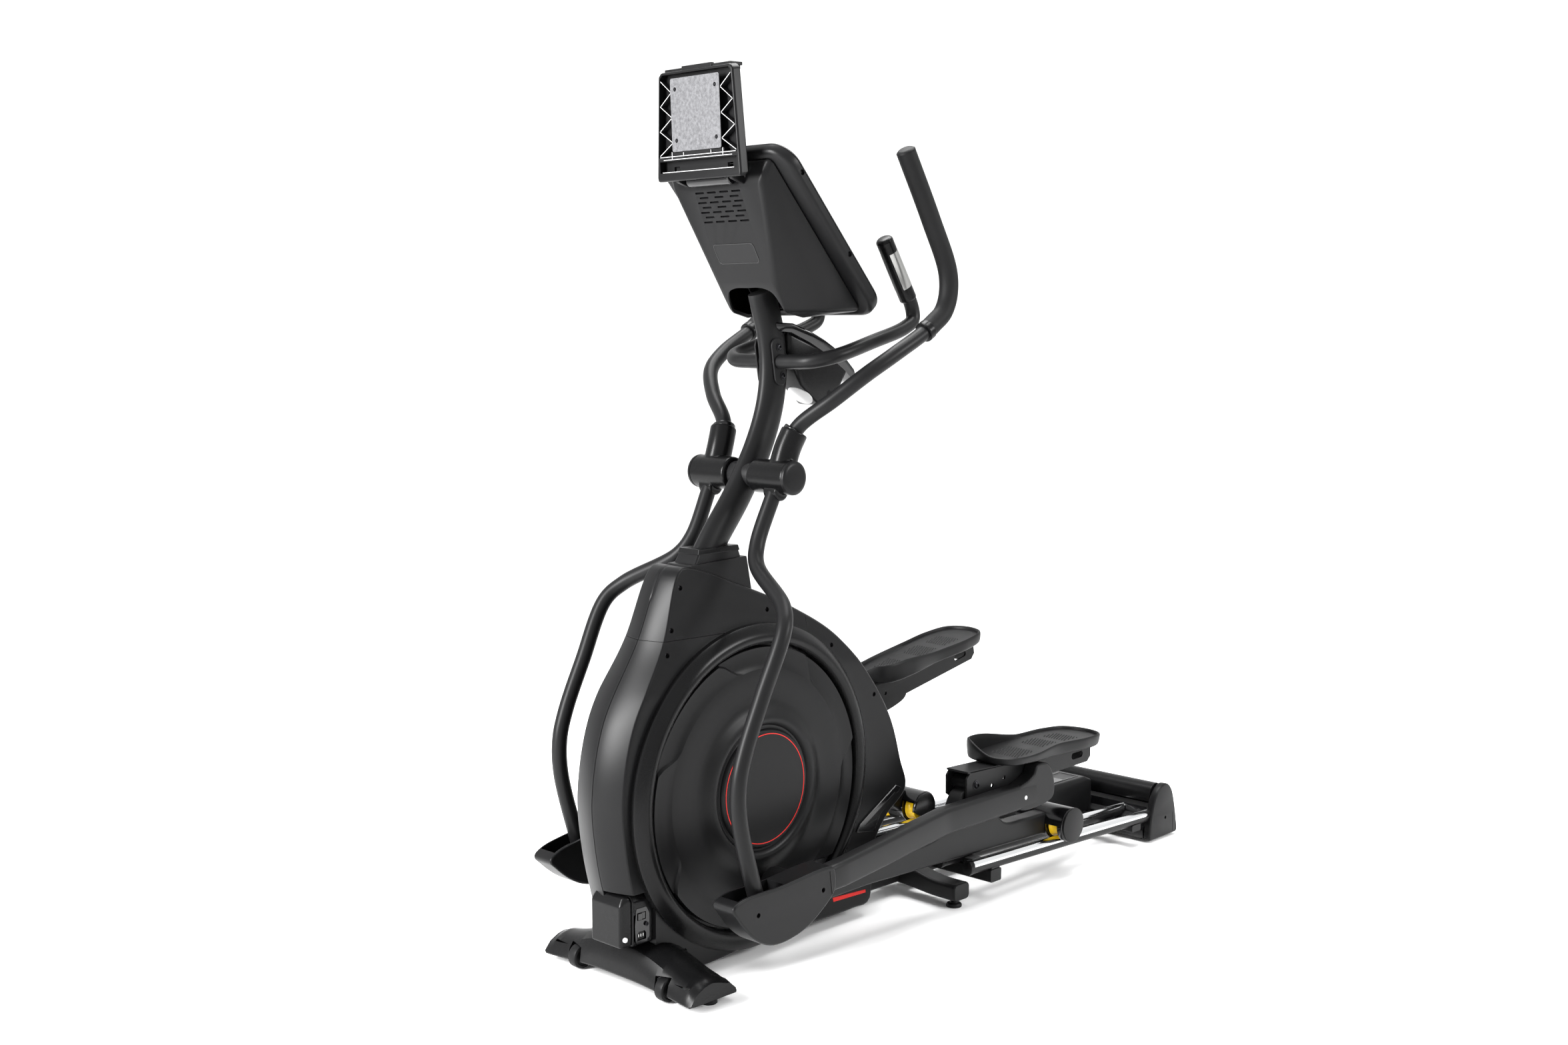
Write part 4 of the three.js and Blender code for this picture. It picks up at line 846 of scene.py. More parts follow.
for name, side in SIDES:
    put = sided(name, f"{name}_foot_link", POSE[side]["link"])
    outline = smooth_outline(SHOE_SIDE, 72)
    cup = hull(
        [
            (x, side * (SHOE_CENTRE + across), z)
            for across in (-23, 23)
            for x, z in ((-74, 80), (58, 90), (-32, -8), (-14, -22), (30, -22))
        ]
    )
    tunnel = block(0, 240, side * SHOE_CENTRE - 18.3, side * SHOE_CENTRE + 18.3, -18, 40)
    holes = [bar_y(x, z, 5, side * 290, side * 306, 0.3, 24) for x, z in ((-30, 34), (155, 14))]
    shoe = prism(outline, side * SHOE_FACES[0], side * SHOE_FACES[1])
    put(
        "shoe_cover", "satin", shoe, "shoe", first_bevel=5, cutters=[cup, tunnel, *holes], bevel=0.7,
        segments=2,
    )
    pins = merge(bolt(-30, 34, 291, side, 3.2, 3), bolt(155, 14, 291, side, 3.2, 3))
    put("shoe_screws", "bolt", pins)
    joint = prism(shifted(rounded(3, 50, 1.2, 3), 180, 20), side * 238.5, side * 301)
    put("shoe_band", "smooth", joint, bevel=0.8)
    pin = bar_y(0, 0, 7, side * 241, side * 299, 0.8)
    put("shoe_pin", "zinc", pin)
    put("link_tube", "coat", connecting_arm(side), "connecting_arm", crisp=50)
    arm_end = prism(smooth_outline(ARM_END, 64), side * (ARM_FAR - 18.2), side * (ARM_FAR + 18.2))
    put("link_end", "coat", arm_end, bevel=5)
    y, z, _ = station_at(PLUG_X)
    dot = bar_y(PLUG_X, z - ARM_DROP * PLUG_X - 2, 5, side * (y + 16), side * (y + 18.8), 0.8, 28)
    put("link_plug", "white", dot)

    cheek = pedal_frame([(-34, -24), (-22, -32), (452, -32), (466, -20), (466, 6), (-20, 34), (-34, 20)])
    web = pedal_frame([(-30, 31), (466, 6), (466, 11), (-30, 36)])
    bridge = pedal_frame([(430, -30), (438, -30), (438, 8), (430, 8)])
    near_end, far_end, *holes = pedal_frame([(392, -8), (424, -8), (108, -4), (62, -14)])
    slot = prism(lug(*near_end, 8, *far_end, 8.01), side * 120, side * 220)
    spots = [prism(shifted(circle(5, 20), *hole), side * 120, side * 220) for hole in holes]
    centre = side * ARM_CENTRE
    for which, low, high in (("inner", -31.5, -26.5), ("outer", 26.5, 31.6)):
        plate = prism(cheek, centre + low, centre + high)
        claims = ["pedal_bracket"] if which == "inner" else []
        put(f"{which}_cheek", "coat", plate, *claims, cutters=[slot, *spots], bevel=1.2)
    ties = merge(prism(web, centre - 31.5, centre + 31.6), prism(bridge, centre - 28, centre + 28))
    put("pedal_web", "coat", ties, bevel=1)
    hub = pedal_frame([(0, 0)])[0]
    heads = bolt(*hub, ARM_CENTRE + 31.6, side, 8, 6)
    heads = merge(heads, bolt(*hub, -(ARM_CENTRE - 31.5), -side, 8, 6))
    put("hub_bolts", "bolt", heads)

    put("pedal_tray", "rubber", pedal_tray(side), "pedal", crisp=50)
    put("pedal_tread", "rubber", tread(side), crisp=20)

# ---- pedal arms, roller carriers and rollers ----
ROLLER = [(8.5, 15), (13, 15), (14, 12.6), (20, 12.6), (22, 15), (29.5, 15), (31, 13.6), (30.6, 12)]
ROLLER += [(28.4, 9.6), (26.8, 6), (26.1, 2.4)]
BEAM_SIDE = [(-912, -26), (-666, -25), (-420, -24), (-60, -22), (0, -22), (6, 0), (0, 24)]
BEAM_SIDE += [(-110, 29), (-200, 34), (-250, 78), (-296, 128), (-330, 138), (-366, 128)]
BEAM_SIDE += [(-404, 66), (-470, 36), (-690, 30), (-912, 26), (-936, 0)]
for name, side in SIDES:
    put = sided(name, f"{name}_pedal_arm", POSE[side]["arm"])
    put_roller = sided(name, f"{name}_rollers", POSE[side]["arm"])
    centre = side * ARM_CENTRE
    beam = prism(smooth_outline(BEAM_SIDE, 120), centre - 21, centre + 21)
    put("arm_beam", "coat", beam, "pedal_arm", bevel=7, segments=4)
    boss = merge(
        bar_y(-PEDAL_ARM, 0, 40, side * 107.6, side * 190, 4, 64),
        bar_y(-HUB_BACK, HUB_RISE, 19, centre - 26, centre + 26, 1.2),
    )
    put("arm_boss", "coat", boss)
    put("boss_bolt", "bolt", bolt(-PEDAL_ARM, 0, 190, side, 9, 7))
    slots = []
    for y in (RAIL_INNER, RAIL_OUTER):
        slots.append(bar_y(0, 0, 33.5, side * (y - 17), side * (y + 17), 0.2, 48))
        slots.append(block(-60, 60, *sorted((side * (y - 17), side * (y + 17))), -60, 4))
    for near, far, top in ((90, 109, -20), (143, 191, -27)):
        slots.append(block(-60, 60, *sorted((side * near, side * far)), -60, top))
    hood = bar_y(1, 4, 42, side * 100, side * 241.5, 5, 72)
    put("carrier_hood", "gloss", hood, "roller_carrier", cutters=slots, bevel=0.8, segments=2)
    lid = bar_y(1, 4, 42.4, side * 242.2, side * 247, 1.4, 72)
    put("carrier_lid", "satin", lid)
    for which, y in (("inner", RAIL_INNER), ("outer", RAIL_OUTER)):
        wheel = lathe(0, 0, [(r, side * y + a) for r, a in both_ways(ROLLER)], 72, ring=True)
        put_roller(f"{which}_wheel", "yellow", wheel, f"{which}_roller")

# ---- rails ----
def rail_height(x):
    drop = (GROOVE_RADIUS + RAIL_RADIUS + 0.3) / cos(RAIL_TILT)
    return AXLE[1] - tan(RAIL_TILT) * (x - AXLE[0]) - drop


for name, side in SIDES:
    put = sided(name)
    ends = lambda x, y: (x, side * y, rail_height(x))
    for which, y in (("inner", RAIL_INNER), ("outer", RAIL_OUTER)):
        rod = round_bar(ends(892, y), ends(1662, y), RAIL_RADIUS, 0.8, 48)
        claims = ["rails"] if which == "inner" else []
        put(f"{which}_rail", "chrome", rod, *claims)
        oval = [(a - 4.4, b) for a, b in circle(17.6, 40, 13.6)]
        cap = sweep([ends(884, y), ends(891, y), ends(898, y)], oval, 3, 1.2, 1.2, upright=(0, 0, 1))
        put(f"{which}_rail_cap", "smooth", cap)
        under = [pi * i / 16 for i in range(17)]
        section = [(-3 - 18 * sin(turn), 12.8 * cos(turn)) for turn in under]
        line = [ends(893, y), ends(1276, y), ends(1661, y)]
        put(f"{which}_rail_keel", "satin", sweep(line, section, 3, upright=(0, 0, 1)), crisp=60)
    low, high = sorted((side * (RAIL_INNER - 10), side * (RAIL_OUTER + 10)))
    put("rail_tie", "coat", block(964, 996, low, high, 76.3, 90), bevel=2)

# ---- floor frame ----
MID_X = 879
WHEEL = (20, 26.5)
WHEEL_ACROSS = 133


def tube_x(x0, x1, width, z0, z1, corner):
    ring = rounded(width, z1 - z0, corner, 4)
    middle = (z0 + z1) / 2
    return skin([[(x, a, middle + b) for a, b in ring] for x in (x0, x1)])


def tube_y(x0, x1, z0, z1, half, corner):
    ring = rounded(x1 - x0, z1 - z0, corner, 4)
    cx, cz = (x0 + x1) / 2, (z0 + z1) / 2
    return skin([[(cx + a, y, cz + b) for a, b in ring] for y in (-half, half)])


base = merge(
    tube_x(60, 1660, 60, 30, 88, 6), tube_y(50, 100, 34, 50, 196, 5), tube_y(1664, 1712, 34, 84, 205, 5),
    tube_x(1640, 1670, 58, 36, 84, 4), tube_y(960, 1000, 46, 76, 220, 4),
    tube_y(1560, 1600, 42, 60, 220, 4), prism([(96, 80), (168, 80), (235, 769.4), (178, 807.8)], -24, 24),
    prism([(150, 86), (360, 86), (356, 368), (326, 396), (196, 430)], -6, 6), bar_y(*CRANK, 32, -27, 27),
)
for side in (-1, 1):
    spindle = lug(645, 318, 24, 645, 100, 40)
    base = merge(base, prism(spindle, side * 21 - 3, side * 21 + 3))
    for across in (-16, 16):
        fork, middle = lug(*WHEEL, 11, 62, 50, 15), side * WHEEL_ACROSS + across
        base = merge(base, prism(fork, middle - 2.5, middle + 2.5))
fixed("base_frame", "coat", base, "main_frame", bevel=1)
MID_HALF = 192
arms = []
for y in [MID_HALF * (i / 12 - 1) for i in range(25)]:
    swell = 1 - smooth_step(20, 150, abs(y))
    ring = rounded(54 - 6 * swell, 38 + 12 * swell, 8, 4)
    arms.append([(MID_X + a, y, 39 + 13 * swell + b) for a, b in ring])
fixed("mid_stabiliser", "coat", skin(arms), bevel=1)
for name, side in SIDES:
    put = sided(name)
    cap = rounded(55, 39.5, 10, 5)
    rings = []
    for y, keep in ((190, 1), (194, 1), (197, 0.98), (199, 0.93)):
        rings.append([(MID_X + u * keep, side * y, 39 + v * keep) for u, v in cap])
    put("stabiliser_cap", "satin", skin(rings), crisp=50)


TYRE = [(0, 12), (7, 12), (8, 10), (17, 10), (19, 12), (21.5, 12), (24.4, 10), (25, 7), (25, 2)]


def foot(x, y, radius, top):
    """A levelling foot: a ribbed pad on a threaded stem."""
    profile = [(0, 0.2), (radius - 1, 0.2), (radius, 1.4), (radius, 6), (radius - 2, 8.6)]
    profile += [(9, 9.6), (8, 12)]
    for i in range(int((top - 13) / 2)):
        profile += [(6.4, 12.6 + 2 * i), (5.6, 13.6 + 2 * i)]
    profile.append((0, top))
    return spun(x, y, profile, 40)


for name, side in SIDES:
    put, put_wheel = sided(name), sided(name, f"{name}_wheel")
    put("front_pad", "rubber", foot(75, side * 196, 17, 34), "front_foot")
    put("mid_pad", "rubber", foot(MID_X, side * 176, 18, 22), "mid_foot")
    put("rear_pad", "rubber", foot(1688, side * 180, 18, 38))
    wheel = lathe(*WHEEL, [(r, side * WHEEL_ACROSS + a) for r, a in both_ways(TYRE)], 56)
    put_wheel("tyre", "rubber", wheel, "transport_wheel")
    axle = bar_y(*WHEEL, 5, side * WHEEL_ACROSS - 19, side * WHEEL_ACROSS + 19, 1, 24)
    put_wheel("wheel_axle", "zinc", axle)

# ---- floor covers ----
def front_section(y):
    """The front cover's section at a distance from the centre: a bow that falls to flared tips."""
    far = abs(y) / 225
    fall = smooth_step(0.15, 1.0, far)
    high = 98 - 40 * fall - 6 * smooth_step(0.9, 1, far)
    low = 24 - 9 * fall
    flare = 5 * smooth_step(0.62, 1.0, far)
    front, back = 4 - flare, 122 + flare * 0.6
    crest = 62 - 6 * fall
    return [
        (front, low), (front - 1.5, low + 3), (front + 3, high - 34 + 6 * fall), (front + 14, high - 15),
        (crest - 22, high - 4), (crest - 6, high - 0.4), (crest, high), (crest + 8, high - 1),
        (crest + 24, high - 5), (back - 14, high - 16), (back - 3, high - 30 + 4 * fall), (back, low + 4),
        (back - 1, low), (back - 8, low - 0.5), (front + 10, low - 0.5),
    ]


rows = []
for y in [-225 + 450 * i / 96 for i in range(97)]:
    section = front_section(y)
    edge = smooth_step(221, 225, abs(y))
    wide, tall = 1 - 0.03 * edge, 1 - 0.05 * edge
    rows.append([(63 + (x - 63) * wide, y, 50 + (z - 50) * tall) for x, z in section])
arches = [bar_y(*WHEEL, 28, s * 114, s * 152, 1, 40) for s in (-1, 1)]
fixed(
    "front_foot_cover", "smooth", skin(rows), "front_cover",
    cutters=[block(12, 114, -204, 204, -10, 46), merge(*arches)], crisp=26,
)
REAR_BODY = [(1632, 10), (1630, 30), (1640, 46), (1652, 60), (1660, 96), (1668, 122), (1680, 138)]
REAR_BODY += [(1700, 142), (1722, 136), (1738, 112), (1750, 74), (1758, 40), (1760, 10)]
END_CAP = [(1634, 8), (1633, 34), (1640, 74), (1654, 112), (1670, 134), (1690, 146), (1706, 147)]
END_CAP += [(1722, 141), (1738, 122), (1750, 88), (1760, 46), (1763, 8)]
rail_holes = []
for side in (-1, 1):
    for y in (RAIL_INNER, RAIL_OUTER):
        near_end, far_end = ((x, side * y, rail_height(x)) for x in (1500, 1670))
        rail_holes.append(round_bar(near_end, far_end, 13.4, 0.2))
fixed(
    "rear_foot_cover", "gloss", prism(REAR_BODY, -207, 207), "rear_cover",
    cutters=[block(1658, 1740, -206, 206, -10, 112), merge(*rail_holes)], bevel=2.2,
)
roll = [(1664, 100), (1660, 118), (1666, 136), (1682, 146), (1698, 146.5), (1704, 142), (1690, 128)]
fixed("rear_cover_roll", "smooth", prism(smooth_outline(roll, 60), -206, 206), bevel=0.8)
ledge = [(1634, 56), (1640, 62), (1662, 70), (1664, 62), (1640, 52)]
fixed("rear_cover_ledge", "satin", prism(ledge, -204, 204), bevel=1.2)
for name, side in SIDES:
    put = sided(name)
    outline = smooth_outline(END_CAP, 90)
    outline = [(x, max(z, 6.5)) for x, z in outline]
    cap = prism(outline, side * 208, side * 228)
    split = prism([(1741, 0), (1742.4, 0), (1742.4, 64), (1741, 64)], side * 222, side * 232)
    hole = bar_y(1706, 56, 4.4, side * 220, side * 232, 0.3, 24)
    put("rear_end", "satin", cap, first_bevel=5, cutters=[split, hole], crisp=34)
    put("rear_end_screw", "bolt", bolt(1706, 56, 221.5, side, 3, 3))

CENTRE_COVER = [(1290, 44, 40), (1310, 40, 132), (1330, 34, 150), (1600, 44, 152), (1627, 48, 140)]
CENTRE_COVER += [(1627, 50, 40)]
fixed(
    "centre_cover", "satin", block_of(CENTRE_COVER), "rail_centre_cover", first_bevel=4,
    cutters=[block(1200, 1700, -30.3, 30.3, 20, 88.3), block(1550, 1610, -60, 60, 20, 60.3)],
)
for i, (x0, x1) in enumerate(((1352, 1448), (1462, 1590))):
    frame_line = [(x0, -24 - i * 3), (x1, -27 - i * 3), (x1, 27 + i * 3), (x0, 24 + i * 3)]
    inner = [(x + (2.4 if k in (0, 3) else -2.4), y * 0.9) for k, (x, y) in enumerate(frame_line)]
    top = 150.6 + i * 0.9
    rim = slab(frame_line, top - 2, top + 1.2)
    fixed(f"centre_panel_{i}", "gloss", rim, cutters=[slab(inner, top, top + 4)], bevel=0.4)

# ---- console ----
CONSOLE = (450, 1534.5, radians(42.7))
on_console = pieces_on("frame", CONSOLE)
FACE_LAYERS = [(-30, 178), (-29, 183), (-26, 187.5), (-22, 189.6), (-9.2, 190), (-8.8, 188.4)]
FACE_LAYERS += [(-7.4, 188.4), (-7, 189.6), (-4, 188.4), (-1.4, 185.8), (0, 182)]
SCREEN_Z = 93
SCREEN = shifted(rounded(236, 166, 6, 4), 0, SCREEN_Z)


def console_slab():
    rings = []
    for x, half in FACE_LAYERS:
        inset = 190 - half
        ring = rounded(2 * half, 442 - 2 * inset, 52 - inset * 0.6, 12)
        rings.append([(x, a, b - 1) for a, b in ring])
    return skin(rings)


screw_wells = [
    round_bar((-14, s * 184, z), (-14, s * 200, z), 6, 0.4) for s in (-1, 1) for z in (150, -62)
]
on_console(
    "console_slab", "satin", console_slab(), "console_front",
    cutters=[panel(SCREEN, -3, 8), merge(*screw_wells)], crisp=32,
)
on_console("console_screen", "screen", panel(shifted(rounded(235, 165, 6, 4), 0, SCREEN_Z), -3, -1.2))
bezel = panel(shifted(rounded(300, 196, 18, 6), 0, SCREEN_Z), -1, 0.9)
on_console("screen_bezel", "gloss", bezel, cutters=[panel(SCREEN, -4, 4)], bevel=0.5)
keypad = panel(shifted(rounded(300, 104, 16, 6), 0, -72), -1, 0.9)
on_console("keypad_panel", "smooth", keypad, bevel=0.6)
keys = []
for row, z in enumerate((-46, -72, -98)):
    for col in range(7):
        wide = 34 if row == 1 and col == 3 else 24
        keys.append(panel(shifted(rounded(wide, 15, 5, 4), (col - 3) * 40, z), 0.4, 2.8))
on_console("keypad_keys", "rubber", merge(*keys), bevel=0.9)
grille = []
for s in (-1, 1):
    for i in range(7):
        grille.append(panel(shifted(rounded(58, 3.2, 1.5, 3), s * 105, -146 - 7 * i), -1.5, 1.4))
on_console("speaker_bars", "gloss", merge(*grille), bevel=0.4)
start_key = panel(shifted(circle(17, 40), 0, -164), 0.2, 3.6)
on_console("start_key", "red", start_key, bevel=1.2)


BACK_SLOPE = 0.3384


def back_panel_x(z):
    return -70 - BACK_SLOPE * (172 - z)


BACK = [(-30.3, 150, 205), (-30.3, 150, -203), (-52, 138, 190), (-70, 128, 172), (-137, 84, -26)]
BACK += [(-150, 80, -98), (-120, 84, -141), (-96, 134, -147)]
ARCH = [(-76, -22), (-74, 16), (-64, 42), (-40, 53), (0, 54), (40, 53), (64, 42), (74, 16)]
ARCH += [(76, -22), (76, -90), (-76, -90)]
arch_room = panel([(y, z - 94) for y, z in smooth_outline(ARCH, 80)], -170, -60)
vents = []
for row in range(7):
    z = 161 - row * 10
    spots = (-53, -18, 18, 53) if row % 2 == 0 else (-44, 0, 44)
    for y in spots:
        vents.append(panel(shifted(rounded(26, 3.8, 1.8, 3), y, z), -130, -40))
hollow = [(-28, 144, 199), (-28, 144, -197), (-48, 132, 184), (-65, 122, 167), (-132, 78, -26)]
hollow += [(-145, 74, -94), (-116, 78, -135), (-92, 128, -141)]
on_console(
    "console_shell", "satin", block_of(BACK), "console_back", first_bevel=9,
    cutters=[block_of(hollow), arch_room, merge(*vents)], crisp=30,
)
# Near-black walls inside the console, behind the arch and the vents: painted shade in its hollow.
inner_shade_wall = merge(
    block_of([(-60, 74, -30), (-60, 74, -150), (-32, 80, -30), (-32, 80, -150)]),
    block_of([(-60, 80, 168), (-57, 80, 168), (-90, 80, 88), (-87, 80, 88)]),
)
on_console("console_inside", "hole", inner_shade_wall)
tilt = atan(BACK_SLOPE)
plate_at = (back_panel_x(34), 34)


def on_back(pairs, rise_low, rise_high):
    """An outline drawn flat on the console's back panel, around a point of it."""
    c, s = cos(tilt), sin(tilt)
    x, z = plate_at
    rises = (rise_low, rise_high)
    rings = [[(x + up * s - rise * c, y, z + up * c + rise * s) for y, up in pairs] for rise in rises]
    return skin(rings)


badge = [(y + up * 0.12, up) for y, up in rounded(118, 44, 8, 5)]
badge_in = [(y + up * 0.12, up) for y, up in rounded(115, 41, 7, 5)]
on_console(
    "blank_badge", "gloss", on_back(badge, -0.6, 0.9), cutters=[on_back(badge_in, 0.1, 3)], bevel=0.3,
)
on_console("badge_face", "satin", on_back(badge_in, -0.4, 0.35))
roll_bar = sweep([(-70, -62, 191), (-70, 0, 191), (-70, 62, 191)], circle(13.5, 40), 5, 3, 3)
on_console("hinge_roll", "gloss", roll_bar)
step_block = block_of([(-62, 88, 160), (-40, 92, 168), (-40, 92, 196), (-60, 84, 190)])
on_console("hinge_step", "satin", step_block, bevel=3)
spine = []
for s in (-1, 1):
    foot_lug = lug(-60, 184, 14, -78, 204, 9)
    spine.append(prism(foot_lug, s * 78 - 5, s * 78 + 5))
on_console("hinge_lugs", "satin", merge(*spine), bevel=1.5)

# ---- tablet cradle ----
CRADLE = (244, 1640, radians(3))
CRADLE_PIVOT = (20, -1)
HINGE_REACH = 28
RIB_STEP = 25
on_cradle = pieces_on("cradle", CRADLE)

CRADLE_BODY = [(-12, 120, -14), (2, 120, -14), (-12, 122, -6), (-12, 108, 196), (-12, 100, 204)]
CRADLE_BODY += [(10, 124, -6), (10, 110, 198), (10, 102, 206)]
room = block_of([(x, y, z) for x in (-20, 4.5) for y, z in ((115, 34), (103, 192), (96, 199))])
low_room = block(-20, 4, -112, 112, 3, 26)
# Room for the hinge roll and its lugs as the cradle tips about its pivot.
roll_arc = [radians(172 + 7 * i) for i in range(29)]
roll_room = [turned_point(CRADLE_PIVOT, turn, HINGE_REACH, 0) for turn in roll_arc]
roll_room = prism(roll_room, -67, 67)
lug_room = merge(*[bar_y(*CRADLE_PIVOT, 23, a, a + 16, 0.5) for a in (70, -86)])
on_cradle(
    "cradle_frame", "satin", block_of(CRADLE_BODY), "tablet_cradle", first_bevel=4, bevel=0.5, segments=2,
    cutters=[room, low_room, roll_room, lug_room],
)
# Thin pale strips along the ribs' outer faces and the bars' fronts paint the highlight on their edges.
rib_web, rib_highlight = [], []
for s in (-1, 1):
    for i in range(6):
        z = 50 + i * RIB_STEP
        lean = 12 if i % 2 else -12
        far = 112 - 12 * (z - 34) / 165
        rib = [(s * y, z + dz + t) for y, dz in ((72, -lean), (far, lean)) for t in (-0.7, 0.7)]
        for x0, x1, target in ((-10.4, 5, rib_web), (-11.4, -10.4, rib_highlight)):
            target.append(hull([(x, y, up) for x in (x0, x1) for y, up in rib]))
on_cradle("cradle_ribs", "satin", merge(*rib_web))
for z, half in ((34.5, 110), (28.5, 100), (3.4, 104)):
    rib_highlight.append(block(-12.6, -11, -half, half, z, z + 1.2))
for s in (-1, 1):
    rib_highlight.append(block(-12.6, -11, s * 74 - 0.6, s * 74 + 0.6, 30, 44))
    rib_highlight.append(block(-12.6, -11, s * 40 - 0.6, s * 40 + 0.6, 34, 42))
on_cradle("cradle_rib_edges", "edge", merge(*rib_highlight))
bars = [block(-11, 4, -108, 108, 27, 31), block(-10, 4, -76, 76, 31, 44), block(-11, 4, -40, 40, 36, 46)]
on_cradle("cradle_bars", "satin", merge(*bars), bevel=0.8)
clip = merge(
    block(-4, 30, -96, 96, 203, 210),
    block(24, 30, -90, 90, 196, 210),
    block(-6, 2, -44, 44, 200, 213),
)
on_cradle("cradle_clip", "satin", clip, bevel=1.6)
lip = merge(block(6, 30, -96, 96, -5, 3), block(25, 30, -90, 90, -5, 14))
on_cradle("cradle_lip", "satin", lip, bevel=1.6)
pivot = merge(bar_y(*CRADLE_PIVOT, 7, -60, 60, 1), block(6, 20, -58, 58, -6, 4))
on_cradle("cradle_pivot", "smooth", pivot, bevel=0.8)
PLATE_SCREWS = [(y, z) for y in (-58, 58) for z in (66, 168)]
holes = [panel(shifted(circle(4.2, 24), *spot), -20, -8) for spot in PLATE_SCREWS]
plate_outline = shifted(rounded(142, 146, 4, 4), 0, 117)
on_cradle(
    "cradle_back_plate", "plate", panel(plate_outline, -13.6, -11.8), "cradle_plate",
    cutters=[merge(*holes)], bevel=0.35,
)
RIVETS = [(-63, 183), (0, 184), (63, 183), (-63, 108), (63, 108), (0, 50), (-60, 50), (60, 50)]
dimples = [panel(shifted(circle(4.4, 24), *spot), -14.1, -13.2) for spot in RIVETS]
on_cradle("cradle_plate_rivets", "plate", merge(*dimples), bevel=0.3)
studs = [panel(shifted(circle(3, 20), *spot), -14.6, -6) for spot in PLATE_SCREWS]
on_cradle("cradle_plate_screws", "bolt", merge(*studs), bevel=0.5)

# ---- fixed handlebar ----
FIXED_SIDE = [(446, 60, 1257), (452, 112, 1259), (486, 148, 1270), (600, 152, 1300), (712, 146, 1330)]
FIXED_SIDE += [(744, 142, 1348), (744, 140, 1372), (650, 140, 1512)]
fixed_path = [*out(FIXED_SIDE[::-1], -1), (446, 0, 1257), *FIXED_SIDE]
fixed("fixed_bar", "coat", sweep(fixed_path, circle(15.5, 32), 260), "fixed_handlebar")
PULSE_GRIP = [(731, 140, 1391.5), (690.5, 140, 1452), (645, 140, 1520)]
SENSOR_LINE = [(713, 140, 1418.4), (690.5, 140, 1452), (664, 140, 1491.6)]
SENSOR_TURNS = [radians(-50 + 100 * i / 12) for i in range(13)]
for name, side in SIDES:
    put = sided(name)
    put("pulse_foam", "smooth", sweep(out(PULSE_GRIP, side), circle(19, 36), 24, 8, 4), "pulse_grip")
    for which, lean in (("outer", 1), ("inner", -1)):
        section = [(19.5 * sin(turn), 19.5 * cos(turn) * lean) for turn in SENSOR_TURNS]
        inner = [(18 * sin(turn), 18 * cos(turn) * lean) for turn in SENSOR_TURNS[::-1]]
        strip = sweep(out(SENSOR_LINE, side), section + inner, 8, upright=(0.8, 0, 0.6))
        put(f"{which}_sensor", "sensor", strip)

# ---- tray ----
TRAY_STATIONS = [(428, 1340, 24, 20), (474, 1338, 38, 22), (524, 1320, 47, 26), (560, 1303, 52, 28)]
TRAY_STATIONS += [(586, 1288, 55, 30), (622, 1264, 57, 28), (650, 1240, 56, 24), (664, 1224, 50, 16)]


def tray_at(share):
    """Centre, half width and depth of the tray along its slope."""
    at = share * (len(TRAY_STATIONS) - 1)
    low = min(int(at), len(TRAY_STATIONS) - 2)
    pairs = zip(TRAY_STATIONS[low], TRAY_STATIONS[low + 1])
    return [a + (b - a) * (at - low) for a, b in pairs]


def tray_dish():
    """A sloping dish with a rolled rim and a hollow bed."""
    rings = []
    for i in range(57):
        x, z, half, deep = tray_at(i / 56)
        end = 1 - (1 - min(1.0, i / 4)) * 0.15 - (1 - min(1.0, (56 - i) / 4)) * 0.12
        half, deep = half * end, deep * end
        hollow = 6 * smooth_step(0, 8, i) * smooth_step(56, 48, i)
        ring = [(0, -deep), (half * 0.6, -deep), (half * 0.86, -deep * 0.86), (half * 0.97, -deep * 0.55)]
        ring += [(half, -deep * 0.2), (half * 0.985, -1.6), (half * 0.95, 0), (half * 0.9, -0.6)]
        ring += [(half * 0.84, -hollow * 0.6), (half * 0.7, -hollow), (0, -hollow)]
        ring += [(-a, b) for a, b in ring[-2:0:-1]]
        rings.append([(x, a, z + b) for a, b in ring])
    return skin(rings)


WELL = (590, 0)
BASE_PLACE = (537, 1183, radians(-38.4))
well = spun(*WELL, [(0, 1193), (36.5, 1193), (37.5, 1400), (0, 1400)])
mast_room = sweep([(x, 0, z) for x, z in MAST_PATH], circle(36, 32, 24), 60, upright=(1, 0, -0.6))
keel = [(474, 24, 1322), (474, 24, 1280), (508, 33, 1206), (566, 34, 1160), (600, 40, 1170)]
keel += [(622, 46, 1205), (640, 50, 1240), (560, 46, 1284)]
fixed("tray_keel", "smooth", block_of(keel), first_bevel=9, cutters=[well, mast_room], crisp=30)
fixed("tray_body", "gloss", tray_dish(), "accessory_tray", cutters=[well, mast_room], crisp=34)
cup = [(0, 1183), (38, 1183), (40.5, 1185), (41, 1190), (41, 1256), (40, 1258), (38, 1258), (37, 1250)]
cup += [(36.6, 1194), (0, 1194)]
fixed("tray_cup_wall", "smooth", spun(*WELL, cup))
base_profile = [(0, -1.8), (27, -1.8), (29.4, -1.2), (30, 1), (0, 1)]
piece("cup_base_plate", "frame", "edge", spun(0, 0, base_profile), BASE_PLACE)

# ---- power inlet ----


def box_ends(x, base, rows):
    """Corners of an inlet box section: its base and then (y, z) corners up its wall."""
    return [(x, y, base) for y in (-62, 36)] + [(x, y, z) for y, z in rows]


